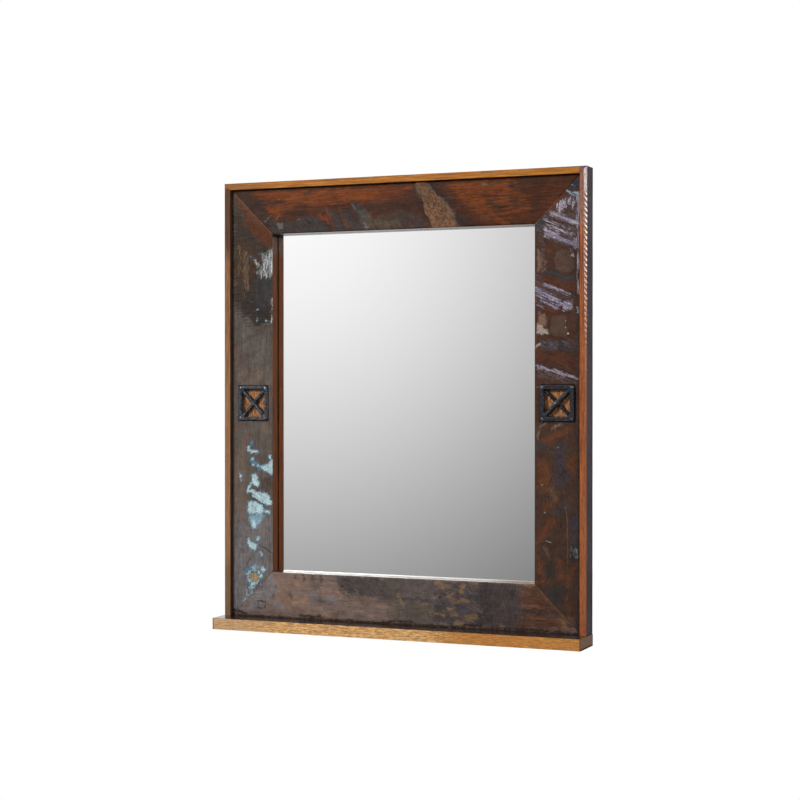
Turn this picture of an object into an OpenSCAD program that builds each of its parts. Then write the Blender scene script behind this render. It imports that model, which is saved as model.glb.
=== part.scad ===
// Wall mirror with a shelf, built from reclaimed boards.
// Frame: +X right, +Y towards the wall, +Z up. The wall plane is y = 0, and the origin is
// halfway between the entry holes of the two keyhole hangers. Millimetres.

/* [Overall size] */
// Height from the underside of the shelf to the top of the case
overall_h = 790; // [700:10:900]
// Width of the case, without the shelf's overhang
case_w = 672; // [600:4:760]

/* [Case and shelf] */
// Thickness of the case boards
case_t = 12; // [10:1:16]
// Thickness of the shelf board
shelf_t = 20; // [18:1:26]
// Depth of the shelf from the wall
shelf_d = 75; // [60:1:120]
// How far the shelf reaches past the case at each end
shelf_overhang = 4; // [0:1:20]
// Radius of the shelf's upright front corners
shelf_corner_r = 3; // [1:0.5:8]

/* [Face boards] */
// Width of the four mitred face boards
face_w = 80; // [74:1:100]
// Thickness of the face boards
face_t = 20; // [18:1:24]
// How far the face boards lie behind the front edges of the case
face_recess = 8; // [6:1:14]

/* [Mirror and back] */
// Thickness of the mirror glass
glass_t = 4; // [3:1:6]
// How far the glass reaches behind the face boards on each side
glass_lap = 10; // [6:1:14]
// Gap between the edge of the glass and the spacer strips
glass_gap = 2; // [1:0.5:3]
// Thickness of the plywood back panel
back_t = 4; // [4:0.5:8]

/* [Iron grilles] */
// Outer size of each square grille
grille_size = 64; // [56:1:66]
// Radius of the grille's frame bars
bar_r = 3.5; // [3:0.1:4]
// Radius of the crossed bar that lies beneath
under_r = 3.2; // [2.6:0.1:3.4]
// Radius of the crossed bar that lies on top
over_r = 2.7; // [2.2:0.1:3]
// Depth of the pocket behind the grille
pocket_depth = 6; // [5:1:9]

/* [Hangers] */
// Distance from the top of the case down to the hangers' entry holes
hanger_drop = 130; // [125:1:140]
// Radius of the entry hole that a wall screw's head goes through
keyhole_r = 5; // [4.5:0.25:6]
// Radius of the narrow slot that the screw's shank rests in
slot_r = 2.75; // [2:0.25:3]
// Rise from the entry hole to the top of the slot
slot_rise = 12; // [10:1:14]

/* [Hidden] */
$fn = 48;
fit_gap = 0.05;             // radial room round a screw or nail in its pilot hole
slack = 0.1;                // room on each side of a spline, a hanger plate or a grille

case_d = face_recess + face_t + glass_t + back_t;
z_top = hanger_drop;
z_bottom = z_top - overall_h;
z_shelf = z_bottom + shelf_t;
z_inner = z_top - case_t;

// Outline that the face boards fill, and the opening that they leave
face_x = case_w / 2 - case_t;
open_x = face_x - face_w;
open_low = z_shelf + face_w;
open_high = z_inner - face_w;

// Planes between the layers, from the wall forwards
y_back = -back_t;
y_glass = y_back - glass_t;
y_face = y_glass - face_t;
y_front = -case_d;
y_mid = y_glass - face_t / 2;

// Glass and the spacer strips round it
glass_x = open_x + glass_lap;
glass_low = open_low - glass_lap;
glass_high = open_high + glass_lap;
spacer_x = glass_x + glass_gap;
spacer_low = glass_low - glass_gap;
spacer_high = glass_high + glass_gap;
shim_l = 30;
shim_t = glass_t - 0.4;

// Grilles, set into the middle of the left and right face boards
grille_x = face_x - face_w / 2;
grille_z = (z_shelf + z_inner) / 2;
boss_r = 5.2;
boss_c = grille_size / 2 - boss_r;
bar_c = grille_size / 2 - bar_r - 0.4;
bar_sunk = 0.5;
under_sunk = 0.6;
over_proud = 0.6;
rebate_depth = 3;
rebate_size = grille_size + 2 * slack;
pocket_size = 2 * (bar_c - bar_r) + 3;
nail_r = 1.2;
nail_l = 13;
nail_head_r = 3.2;
nail_head_h = 1.6;
boss_proud = 2.2;

// Keyhole hanger plates, in the middle of the side spacers
hanger_x = (spacer_x + face_x) / 2;
plate_w = 20;
plate_h = 60;
plate_t = 1.5;
plate_corner_r = 4;
plate_z = 2;
head_room_r = 7;
hanger_screw_z = [-20, 25];

// Screws: [shank radius, head radius, head depth, length]
back_screw = [1.5, 3.2, 1.7, 17];
hanger_screw = [1.6, 2.9, 1.3, 14];
shelf_screw = [2.2, 4.4, 2.4, 50];
side_screw = [1.6, 3.2, 1.7, 45];
slot_w = 0.8;               // width of a screw's cross recess
case_nail = [0.9, 1.6, 1.2, 38];

spline_l = 60;
spline_w = 26;
spline_t = 4;

back_screw_inset = 24;
side_screw_step = (open_high - open_low) / 3;
back_screw_places = concat(
    [for (x = [-220, 0, 220], z = [z_shelf + back_screw_inset, z_inner - back_screw_inset]) [x, z]],
    [for (side = [-1, 1], k = [-1:1])
        [side * (face_x - back_screw_inset), grille_z + k * side_screw_step]]);
shelf_screw_x = [-200, -70, 70, 200];
side_nail_z = [for (k = [-1.5:1:1.5]) grille_z + k * 170];
top_nail_x = [for (k = [-1.5:1:1.5]) k * 140];

// ---- helpers ----

// Extrudes a front-view outline, drawn as (x, z), from y = near to y = far
module slab(near, far) {
    translate([0, far, 0]) rotate([90, 0, 0]) linear_extrude(far - near) children();
}

// Rectangle from one corner to the other, in the front view
module area(x0, z0, x1, z1) {
    translate([x0, z0]) square([x1 - x0, z1 - z0]);
}

// Rectangle with round corners, centred
module round_area(w, h, r) {
    square([w - 2 * r, h], center = true);
    square([w, h - 2 * r], center = true);
    for (x = [-1, 1], z = [-1, 1]) translate([x * (w / 2 - r), z * (h / 2 - r)]) circle(r);
}

// Upright slot with round ends, from z = 0 to z = rise
module slot_area(r, rise) {
    circle(r);
    translate([0, rise]) circle(r);
    translate([-r, 0]) square([2 * r, rise]);
}

// Countersunk screw whose head lies flush at the origin and whose shank runs down -Z
module screw(s, grow = 0) {
    cylinder(h = s[2], r1 = s[0] + grow, r2 = s[1] + grow);
    translate([0, 0, s[2] - s[3] - grow]) cylinder(h = s[3] - s[2] + grow, r = s[0] + grow);
}
module driven_screw(s) {
    difference() {
        translate([0, 0, -s[2]]) screw(s);
        for (a = [0, 90]) rotate(a)
            translate([-s[1] * 0.6, -slot_w / 2, -s[2] * 0.6]) cube([s[1] * 1.2, slot_w, s[2]]);
    }
}
module screw_hole(s) {
    translate([0, 0, -s[2]]) screw(s, fit_gap);
}

// Turns a screw or nail drawn along -Z so that it enters the object from one side
module from_back() { rotate([-90, 0, 0]) children(); }
module from_front() { rotate([90, 0, 0]) children(); }
module from_below() { rotate([180, 0, 0]) children(); }
module from_side(side) { rotate([0, side * 90, 0]) children(); }

module at_back_screws() {
    for (p = back_screw_places) translate([p[0], 0, p[1]]) from_back() children();
}
module at_hanger_screws() {
    for (side = [-1, 1], z = hanger_screw_z)
        translate([side * hanger_x, 0, z]) from_back() children();
}
module at_shelf_screws() {
    for (x = shelf_screw_x) translate([x, y_mid, z_bottom]) from_below() children();
}
module at_side_screws() {
    for (side = [-1, 1])
        translate([side * (case_w - case_t) / 2, y_mid, z_bottom]) from_below() children();
}
module at_case_nails() {
    for (side = [-1, 1], z = side_nail_z)
        translate([side * case_w / 2, y_mid, z]) from_side(side) children();
    for (x = top_nail_x) translate([x, y_mid, z_top]) children();
}

// Flat-headed nail, driven flush along -Z
module case_nail_body(grow = 0) {
    translate([0, 0, -case_nail[2]]) cylinder(h = case_nail[2], r = case_nail[1] + grow);
    translate([0, 0, -case_nail[3] - grow])
        cylinder(h = case_nail[3] - case_nail[2] + grow, r = case_nail[0] + grow);
}

// ---- case and shelf ----

module shelf_board() {
    color("peru") difference() {
        translate([0, -shelf_d / 2, z_bottom]) linear_extrude(shelf_t) union() {
            round_area(case_w + 2 * shelf_overhang, shelf_d, shelf_corner_r);
            translate([-case_w / 2 - shelf_overhang, 0])
                square([case_w + 2 * shelf_overhang, shelf_d / 2]);
        }
        at_shelf_screws() screw_hole(shelf_screw);
        at_side_screws() screw_hole(side_screw);
    }
}

module case_board_top() {
    color("saddlebrown") difference() {
        slab(y_front, 0) polygon([
            [-case_w / 2, z_top], [case_w / 2, z_top], [face_x, z_inner], [-face_x, z_inner]]);
        at_case_nails() case_nail_body(fit_gap);
    }
}

module case_board_side(side) {
    color("saddlebrown") difference() {
        slab(y_front, 0) polygon([
            [side * case_w / 2, z_shelf], [side * case_w / 2, z_top],
            [side * face_x, z_inner], [side * face_x, z_shelf]]);
        at_side_screws() screw_hole(side_screw);
        at_case_nails() case_nail_body(fit_gap);
    }
}

// ---- face boards ----

module face_board_fixings() {
    at_back_screws() screw_hole(back_screw);
    at_hanger_screws() screw_hole(hanger_screw);
    at_case_nails() case_nail_body(fit_gap);
    at_shelf_screws() screw_hole(shelf_screw);
    splines(slack);
}

module face_board_top() {
    color("#6b3a1e") difference() {
        slab(y_face, y_glass) polygon([
            [-face_x, z_inner], [face_x, z_inner], [open_x, open_high], [-open_x, open_high]]);
        face_board_fixings();
    }
}

module face_board_bottom() {
    color("#5a4a40") difference() {
        slab(y_face, y_glass) polygon([
            [-face_x, z_shelf], [face_x, z_shelf], [open_x, open_low], [-open_x, open_low]]);
        face_board_fixings();
    }
}

module face_board_side(side) {
    color("#54433a") difference() {
        slab(y_face, y_glass) polygon([
            [side * face_x, z_shelf], [side * face_x, z_inner],
            [side * open_x, open_high], [side * open_x, open_low]]);
        translate([side * grille_x, 0, grille_z]) {
            slab(y_face - 1, y_face + rebate_depth) square(rebate_size, center = true);
            slab(y_face - 1, y_face + pocket_depth) square(pocket_size, center = true);
        }
        at_grille_nails(side) nail_body(fit_gap);
        face_board_fixings();
    }
}

module splines(grow = 0) {
    for (sx = [-1, 1], top = [0, 1]) {
        z = top == 1 ? z_inner - face_w / 2 : z_shelf + face_w / 2;
        turn = (top == 1 ? 1 : -1) * sx * -45;
        translate([sx * (face_x - face_w / 2), y_mid, z]) rotate([0, turn, 0])
            cube([spline_l + 2 * grow, spline_t + 2 * grow, spline_w + 2 * grow], center = true);
    }
}
module mitre_splines() { color("tan") splines(); }

// ---- iron grilles ----

module at_grille_nails(side) {
    for (x = [-1, 1], z = [-1, 1])
        translate([side * grille_x + x * boss_c, y_face - boss_proud, grille_z + z * boss_c])
            from_front() children();
}
module nail_body(grow = 0) {
    translate([0, 0, -nail_l - grow]) cylinder(h = nail_l + grow, r = nail_r + grow);
}
module nail_head() {
    dome_r = (nail_head_r * nail_head_r + nail_head_h * nail_head_h) / (2 * nail_head_h);
    intersection() {
        translate([0, 0, nail_head_h - dome_r]) sphere(dome_r);
        cylinder(h = nail_head_h + 1, r = nail_head_r + 1);
    }
}
module grille_nails() {
    color("#2b2d31") for (side = [-1, 1]) at_grille_nails(side) {
        nail_head();
        nail_body();
    }
}

// Square of round bars with a boss at each corner and two bars crossed over the pocket
module iron_grille(side) {
    color("#33363b") translate([side * grille_x, 0, grille_z]) difference() {
        intersection() {
            union() {
                for (a = [0:90:270]) rotate([0, a, 0]) {
                    translate([-bar_c, y_face + bar_sunk, bar_c]) rotate([0, 90, 0])
                        cylinder(h = 2 * bar_c, r = bar_r);
                    translate([boss_c, y_face + rebate_depth, boss_c]) from_front()
                        cylinder(h = rebate_depth + boss_proud, r = boss_r);
                }
                rotate([0, 45, 0]) translate([0, y_face + under_sunk, 0])
                    cylinder(h = 2 * sqrt(2) * boss_c, r = under_r, center = true);
                rotate([0, -45, 0]) translate([0, y_face - over_proud, 0])
                    cylinder(h = 2 * sqrt(2) * boss_c, r = over_r, center = true);
            }
            slab(y_face - 20, y_face + rebate_depth) square(grille_size, center = true);
        }
        for (x = [-1, 1], z = [-1, 1]) translate([x * boss_c, y_face - boss_proud, z * boss_c])
            from_front() nail_body(fit_gap);
    }
}

// ---- mirror and back ----

module mirror_glass() {
    color("lightsteelblue") slab(y_glass, y_back) area(-glass_x, glass_low, glass_x, glass_high);
}

module glass_shims() {
    color("burlywood") slab(y_back - shim_t, y_back) {
        for (side = [-1, 1], z = [grille_z - 180, grille_z + 180])
            translate([side * (glass_x + glass_gap / 2), z])
                square([glass_gap, shim_l], center = true);
        for (x = [-140, 140], z = [glass_low - glass_gap / 2, glass_high + glass_gap / 2])
            translate([x, z]) square([shim_l, glass_gap], center = true);
    }
}

module spacer_fixings() {
    at_back_screws() screw_hole(back_screw);
    at_hanger_screws() screw_hole(hanger_screw);
    hanger_head_rooms();
}
module spacer_level(low, high) {
    color("#8a6a48") slab(y_glass, y_back) area(-face_x, low, face_x, high);
}
module spacer_top() {
    difference() {
        spacer_level(spacer_high, z_inner);
        spacer_fixings();
    }
}
module spacer_bottom() {
    difference() {
        spacer_level(z_shelf, spacer_low);
        spacer_fixings();
    }
}
module spacer_side(side) {
    color("#8a6a48") difference() {
        slab(y_glass, y_back)
            translate([side * (face_x + spacer_x) / 2, (spacer_low + spacer_high) / 2])
                square([face_x - spacer_x, spacer_high - spacer_low], center = true);
        spacer_fixings();
    }
}

module back_panel() {
    color("#b48a5a") difference() {
        slab(y_back, 0) area(-face_x, z_shelf, face_x, z_inner);
        for (side = [-1, 1]) translate([side * hanger_x, 0, plate_z])
            slab(-plate_t, 1)
                round_area(plate_w + 2 * slack, plate_h + 2 * slack, plate_corner_r);
        spacer_fixings();
    }
}
module back_panel_screws() {
    color("silver") at_back_screws() driven_screw(back_screw);
}

// ---- hangers ----

module hanger_head_rooms() {
    for (side = [-1, 1]) translate([side * hanger_x, 0, 0])
        slab(y_glass, 1) slot_area(head_room_r, slot_rise);
}
module hanger_plate(side) {
    color("silver") difference() {
        translate([side * hanger_x, 0, 0]) slab(-plate_t, 0) difference() {
            translate([0, plate_z]) round_area(plate_w, plate_h, plate_corner_r);
            circle(keyhole_r);
            slot_area(slot_r, slot_rise);
        }
        at_hanger_screws() screw_hole(hanger_screw);
    }
}
module hanger_screws() {
    color("silver") at_hanger_screws() driven_screw(hanger_screw);
}

// ---- fixings of the case and shelf ----

module shelf_screws() {
    color("silver") {
        at_shelf_screws() driven_screw(shelf_screw);
        at_side_screws() driven_screw(side_screw);
    }
}
module case_nails() {
    color("dimgray") at_case_nails() case_nail_body();
}

shelf_board();
case_board_top();
case_board_side(-1);  // case_board_left
case_board_side(1);  // case_board_right
face_board_top();
face_board_bottom();
face_board_side(-1);  // face_board_left
face_board_side(1);  // face_board_right
mitre_splines();
iron_grille(-1);  // iron_grille_left
iron_grille(1);  // iron_grille_right
grille_nails();
mirror_glass();
glass_shims();
spacer_top();
spacer_bottom();
spacer_side(-1);  // spacer_left
spacer_side(1);  // spacer_right
back_panel();
back_panel_screws();
hanger_plate(-1);  // hanger_plate_left
hanger_plate(1);  // hanger_plate_right
hanger_screws();
shelf_screws();
case_nails();
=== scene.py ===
"""A wall mirror with a shelf, framed in reclaimed boards with two iron grilles: looks, light and camera."""
import math
from collections import namedtuple

import bmesh
import bpy
import numpy as np
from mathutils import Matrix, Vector, noise


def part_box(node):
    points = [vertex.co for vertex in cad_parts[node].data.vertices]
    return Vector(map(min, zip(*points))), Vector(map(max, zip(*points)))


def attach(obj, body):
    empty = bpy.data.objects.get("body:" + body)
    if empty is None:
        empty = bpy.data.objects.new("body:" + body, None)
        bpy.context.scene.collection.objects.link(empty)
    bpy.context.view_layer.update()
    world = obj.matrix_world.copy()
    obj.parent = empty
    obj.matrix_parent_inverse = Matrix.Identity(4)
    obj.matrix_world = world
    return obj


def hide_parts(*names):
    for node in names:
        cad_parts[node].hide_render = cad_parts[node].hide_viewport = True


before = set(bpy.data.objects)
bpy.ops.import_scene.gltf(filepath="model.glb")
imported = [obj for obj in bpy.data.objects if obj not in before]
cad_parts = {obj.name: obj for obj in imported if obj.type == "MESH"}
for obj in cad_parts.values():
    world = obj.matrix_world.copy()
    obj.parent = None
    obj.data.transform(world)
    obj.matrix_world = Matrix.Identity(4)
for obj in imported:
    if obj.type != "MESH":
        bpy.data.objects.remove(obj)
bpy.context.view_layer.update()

MM = 0.001
# Places closer than this are the same place.
TOUCH = 0.01 * MM
# A point closer than this to a surface, before it is worn, lies in it.
NEAR = 0.1 * MM
# A face whose normal leans this much toward a direction faces it.
FACING = 0.9

# ---- places taken from the frame, in metres ----

FACE_LOW, FACE_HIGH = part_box("face_board_left")[0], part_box("face_board_right")[1]
OPEN_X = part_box("face_board_right")[0].x
OPEN_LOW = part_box("face_board_bottom")[1].z
OPEN_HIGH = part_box("face_board_top")[0].z
CENTRE_Z = (FACE_LOW.z + FACE_HIGH.z) / 2


# ---- mesh helpers ----

def only(piece):
    """Makes one object the only selected one."""
    bpy.ops.object.select_all(action="DESELECT")
    piece.select_set(True)
    bpy.context.view_layer.objects.active = piece


def edit(piece):
    only(piece)
    bpy.ops.object.mode_set(mode="EDIT")


def done():
    bpy.ops.object.mode_set(mode="OBJECT")


def settle(piece):
    """Writes the object's place, turn and size into its mesh."""
    only(piece)
    bpy.ops.object.transform_apply(location=True, rotation=True, scale=True)


def pick(piece, kind, test):
    """Selects the faces or edges of the mesh in edit mode that pass a test."""
    bpy.ops.mesh.select_mode(type={"faces": "FACE", "edges": "EDGE"}[kind])
    bpy.ops.mesh.select_all(action="DESELECT")
    net = bmesh.from_edit_mesh(piece.data)
    for item in getattr(net, kind):
        if test(item):
            item.select_set(True)
    bmesh.update_edit_mesh(piece.data)


def slice_at(place, normal, keep_front=False):
    """Cuts the mesh in edit mode along a plane; keep_front drops what lies behind it."""
    bpy.ops.mesh.select_all(action="SELECT")
    bpy.ops.mesh.bisect(plane_co=place, plane_no=normal, use_fill=keep_front, clear_inner=keep_front)


def push_out(distance):
    """Extrudes the selected faces along Y."""
    bpy.ops.mesh.extrude_region_move(TRANSFORM_OT_translate={"value": (0, distance, 0)})


def read_vertices(piece, what):
    """One vector for each corner of the mesh, as an array of x, y, z."""
    flat = np.empty(len(piece.data.vertices) * 3)
    piece.data.vertices.foreach_get(what, flat)
    return flat.reshape(-1, 3)


def corners_of(piece):
    return read_vertices(piece, "co")


def normals_of(piece):
    return read_vertices(piece, "normal")


def put_corners(piece, places):
    piece.data.vertices.foreach_set("co", places.astype(np.float32).ravel())
    piece.data.update()


def new_block(name, low, high):
    """A block from one corner to the other, ready to be shaped."""
    bpy.ops.mesh.primitive_cube_add(size=1, location=(Vector(low) + Vector(high)) / 2)
    block = bpy.context.object
    block.name = name
    block.scale = Vector(high) - Vector(low)
    settle(block)
    return block


def round_edges(piece, radius, segments, test, bulge=0.5):
    """Rounds the edges that pass a test on their two ends; a bulge below a half is flatter than round."""
    edit(piece)
    pick(piece, "edges", lambda e: test(e.verts[0].co, e.verts[1].co))
    bpy.ops.mesh.bevel(offset=radius, segments=segments, profile=bulge, affect="EDGES")
    done()


def finish_with(piece, kind, **settings):
    """Adds a modifier and applies it."""
    only(piece)
    modifier = piece.modifiers.new(kind.lower(), kind)
    for name, value in settings.items():
        setattr(modifier, name, value)
    bpy.ops.object.modifier_apply(modifier=modifier.name)


def smooth(piece, degrees):
    only(piece)
    bpy.ops.object.shade_smooth_by_angle(angle=math.radians(degrees))


def keep_flats(piece):
    """Smooths the rounded edges and leaves the wide faces flat."""
    smooth(piece, 30)
    finish_with(piece, "WEIGHTED_NORMAL", keep_sharp=True)


def bumps(places, size, octaves=3):
    """Soft noise from about -1 to 1 at each place; size is the width of a bump along x, y and z."""
    scaled = places / np.array(size)
    return np.array([noise.fractal(Vector(p), 1.0, 2.0, octaves) for p in scaled])


def join(name, parts):
    """Joins objects into one."""
    only(parts[0])
    for part in parts:
        part.select_set(True)
    bpy.ops.object.join()
    parts[0].name = name
    return parts[0]


def add_piece(piece, slot, node, *materials):
    """Gives a finished piece its materials and its place in the frame."""
    piece.data.name = piece.name
    for material in materials:
        piece.data.materials.append(material)
    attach(piece, "root")
    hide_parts(node)


# ---- materials: helpers ----

def tint(red, green, blue):
    """A colour as a screen shows it, 0 to 255, as the light that a material reflects."""
    def level(value):
        share = value / 255
        return share / 12.92 if share <= 0.04045 else ((share + 0.055) / 1.055) ** 2.4
    return (level(red), level(green), level(blue), 1.0)


class Graph:
    """Adds nodes to a tree and wires them. A socket is named by its name or its number."""

    def __init__(self, tree):
        self.tree = tree

    def feed(self, socket, value):
        if isinstance(value, bpy.types.NodeSocket):
            self.tree.links.new(value, socket)
        else:
            socket.default_value = value

    def add(self, kind, sockets=None, **settings):
        node = self.tree.nodes.new(kind)
        for name, value in settings.items():
            setattr(node, name, value)
        for name, value in (sockets or {}).items():
            self.feed(node.inputs[name], value)
        return node

    def math(self, operation, *values):
        return self.add("ShaderNodeMath", dict(enumerate(values)), operation=operation).outputs[0]

    def vector(self, operation, *values):
        return self.add("ShaderNodeVectorMath", dict(enumerate(values)), operation=operation).outputs[0]

    def times(self, value, factor):
        return self.math("MULTIPLY", value, factor)

    def plus(self, value, factor, base):
        """Adds factor times the value to the base."""
        return self.math("MULTIPLY_ADD", value, factor, base)

    def centred(self, value):
        """Turns a value round a half into one round nothing."""
        return self.math("SUBTRACT", value, 0.5)

    def scale(self, vector, factor):
        """Multiplies a vector or a colour by one factor."""
        return self.add("ShaderNodeVectorMath", {0: vector, "Scale": factor}, operation="SCALE").outputs[0]

    def point(self, x, y, z):
        return self.add("ShaderNodeCombineXYZ", {"X": x, "Y": y, "Z": z}).outputs[0]

    def split(self, vector):
        return self.add("ShaderNodeSeparateXYZ", {"Vector": vector}).outputs

    def mix(self, share, under, over):
        """Mixes two colours."""
        return self.add("ShaderNodeMix", {0: share, 6: under, 7: over}, data_type="RGBA").outputs[2]

    def blend(self, share, under, over):
        """Mixes two numbers."""
        return self.add("ShaderNodeMix", {0: share, 2: under, 3: over}).outputs[0]

    def ramp(self, value, low, high, start=0.0, end=1.0):
        """Goes smoothly from start to end as the value goes from low to high."""
        sockets = {"Value": value, "From Min": low, "From Max": high, "To Min": start, "To Max": end}
        return self.add("ShaderNodeMapRange", sockets, interpolation_type="SMOOTHSTEP").outputs[0]

    def noise(self, where, scale=1.0, detail=3.0, roughness=0.55):
        sockets = {"Vector": where, "Scale": scale, "Detail": detail, "Roughness": roughness}
        return self.add("ShaderNodeTexNoise", sockets).outputs[0]

    def group(self, tree, sockets):
        return self.add("ShaderNodeGroup", sockets, node_tree=tree).outputs

    def streaks(self, given):
        """The place among streaks whose turn and size a group is given."""
        return self.group(GRAIN_SPACE, {name: given[name] for name in STREAK_INPUTS})["Along"]

    def where(self):
        return self.add("ShaderNodeTexCoord").outputs["Object"]

    def light_path(self):
        return self.add("ShaderNodeLightPath").outputs

    def surface(self, shader, output="ShaderNodeOutputMaterial"):
        self.add(output, {"Surface": shader.outputs[0]})


SOCKET_KINDS = {1: "NodeSocketFloat", 3: "NodeSocketVector", 4: "NodeSocketColor"}


def new_group(name, inputs, outputs):
    """A node group with named inputs, each given by its default, and named outputs."""
    tree = bpy.data.node_groups.new(name, "ShaderNodeTree")
    for socket_name, default in inputs.items():
        size = len(default) if isinstance(default, tuple) else 1
        socket = tree.interface.new_socket(socket_name, in_out="INPUT", socket_type=SOCKET_KINDS[size])
        socket.default_value = default
    for socket_name, size in outputs.items():
        tree.interface.new_socket(socket_name, in_out="OUTPUT", socket_type=SOCKET_KINDS[size])
    graph = Graph(tree)
    return graph, graph.add("NodeGroupInput").outputs, graph.add("NodeGroupOutput").inputs


def new_material(name):
    material = bpy.data.materials.new(name)
    material.use_nodes = True
    material.node_tree.nodes.clear()
    return material, Graph(material.node_tree)


def finish_material(graph, colour, rough, height, fixed, distance=MM, strength=1.0):
    """Adds the surface shader: height is in units of distance, and fixed holds its plain settings."""
    bump = graph.add("ShaderNodeBump", {"Height": height, "Distance": distance, "Strength": strength})
    graph.surface(graph.add("ShaderNodeBsdfPrincipled", {
        "Base Color": colour, "Roughness": rough, "Normal": bump.outputs[0], **fixed}))


# The plain settings of the finishes that several pieces share.
VARNISH = {"Specular IOR Level": 0.08}
RAW = {"Specular IOR Level": 0.1}
SATIN = {"Specular IOR Level": 0.15}
GLOSSY = {"Specular IOR Level": 0.5, "Coat Weight": 1.0, "Coat Roughness": 0.1}


# ---- materials: shared effects ----

# What a group with streaks is given: a place, and the turn, length, width and seed of the streaks.
STREAK_INPUTS = {"Where": (0.0, 0.0, 0.0), "Turn": 0.0, "Length": 0.1, "Width": 0.005, "Seed": 0.0}


def make_grain_space():
    """Turns and stretches space so that one unit is one streak long and one streak wide."""
    graph, given, out = new_group("grain_space", STREAK_INPUTS, {"Along": 3})
    turned = graph.add("ShaderNodeVectorRotate", {"Vector": given["Where"], "Angle": given["Turn"]},
                       rotation_type="Y_AXIS").outputs[0]
    scaled = graph.vector("DIVIDE", turned, graph.point(given["Length"], given["Width"], given["Width"]))
    graph.feed(out["Along"], graph.vector("ADD", scaled, graph.point(given["Seed"], given["Seed"], 0.0)))
    return graph.tree


def make_board_grain():
    """Streaks of three tones along the grain, with fine pores."""
    graph, given, out = new_group(
        "board_grain",
        {**STREAK_INPUTS, "Light": (0.5, 0.3, 0.2, 1.0), "Mid": (0.3, 0.2, 0.1, 1.0),
         "Dark": (0.1, 0.1, 0.1, 1.0), "Contrast": 1.0},
        {"Color": 4, "Height": 1})
    broad_share, fine_share = 0.62, 0.38
    finer = (3.0, 5.0, 5.0)
    space = graph.streaks(given)
    broad = graph.noise(space, 1.0, 5.0, 0.62)
    fine = graph.noise(graph.vector("MULTIPLY", space, finer), 1.0, 3.0, 0.6)
    streak = graph.math("ADD", graph.times(broad, broad_share), graph.times(fine, fine_share))
    swing = graph.times(graph.centred(streak), given["Contrast"])
    darker = graph.ramp(swing, -0.01, -0.16)
    lighter = graph.ramp(swing, 0.0, 0.15)
    colour = graph.mix(lighter, graph.mix(darker, given["Mid"], given["Dark"]), given["Light"])
    graph.feed(out["Color"], colour)
    graph.feed(out["Height"], streak)
    return graph.tree


def make_paint_film():
    """Lays a worn film of paint, stain or dirt over what is beneath, where its field is above a half; a few
    films are painted shadow or highlight.
    """
    graph, given, out = new_group(
        "paint_film",
        {**STREAK_INPUTS, "Field": 0.5, "Rag": 1.0, "Speckle": 0.0, "Soft": 0.05, "Cover": 1.0,
         "First": (0.5, 0.5, 0.5, 1.0), "Second": (0.4, 0.4, 0.4, 1.0), "Roughness": 0.5, "Rise": 0.0,
         "Under Color": (0.3, 0.2, 0.1, 1.0), "Under Roughness": 0.5, "Under Height": 0.0},
        {"Color": 4, "Roughness": 1, "Height": 1})
    speck_scale, tone_scale = 420.0, (2.3, 2.3, 2.3)
    space = graph.streaks(given)
    wear = graph.noise(space, 1.0, 6.0, 0.68)
    specks = graph.noise(given["Where"], speck_scale, 3.0, 0.7)
    edge = graph.plus(graph.centred(wear), given["Rag"], given["Field"])
    edge = graph.plus(graph.centred(specks), given["Speckle"], edge)
    mask = graph.ramp(graph.centred(edge), graph.times(given["Soft"], -1.0), given["Soft"])
    patchy = graph.noise(graph.vector("MULTIPLY", space, tone_scale), 1.0, 5.0, 0.7)
    paint = graph.mix(graph.ramp(patchy, 0.38, 0.62), given["First"], given["Second"])
    share = graph.times(mask, given["Cover"])
    graph.feed(out["Color"], graph.mix(share, given["Under Color"], paint))
    graph.feed(out["Roughness"], graph.blend(share, given["Under Roughness"], given["Roughness"]))
    graph.feed(out["Height"], graph.plus(share, given["Rise"], given["Under Height"]))
    return graph.tree


def make_saw_marks():
    """Fine ridges left by a saw, across the turn given, in patches."""
    graph, given, out = new_group(
        "saw_marks", {**STREAK_INPUTS, "Length": 60 * MM, "Width": 2.5 * MM}, {"Mask": 1})
    patch_scale = 17.0
    patchy = graph.ramp(graph.noise(given["Where"], patch_scale, 2.0, 0.5), 0.4, 0.6)
    ridges = graph.ramp(graph.noise(graph.streaks(given), 1.0, 3.0, 0.6), 0.46, 0.58)
    graph.feed(out["Mask"], graph.times(patchy, ridges))
    return graph.tree


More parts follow.
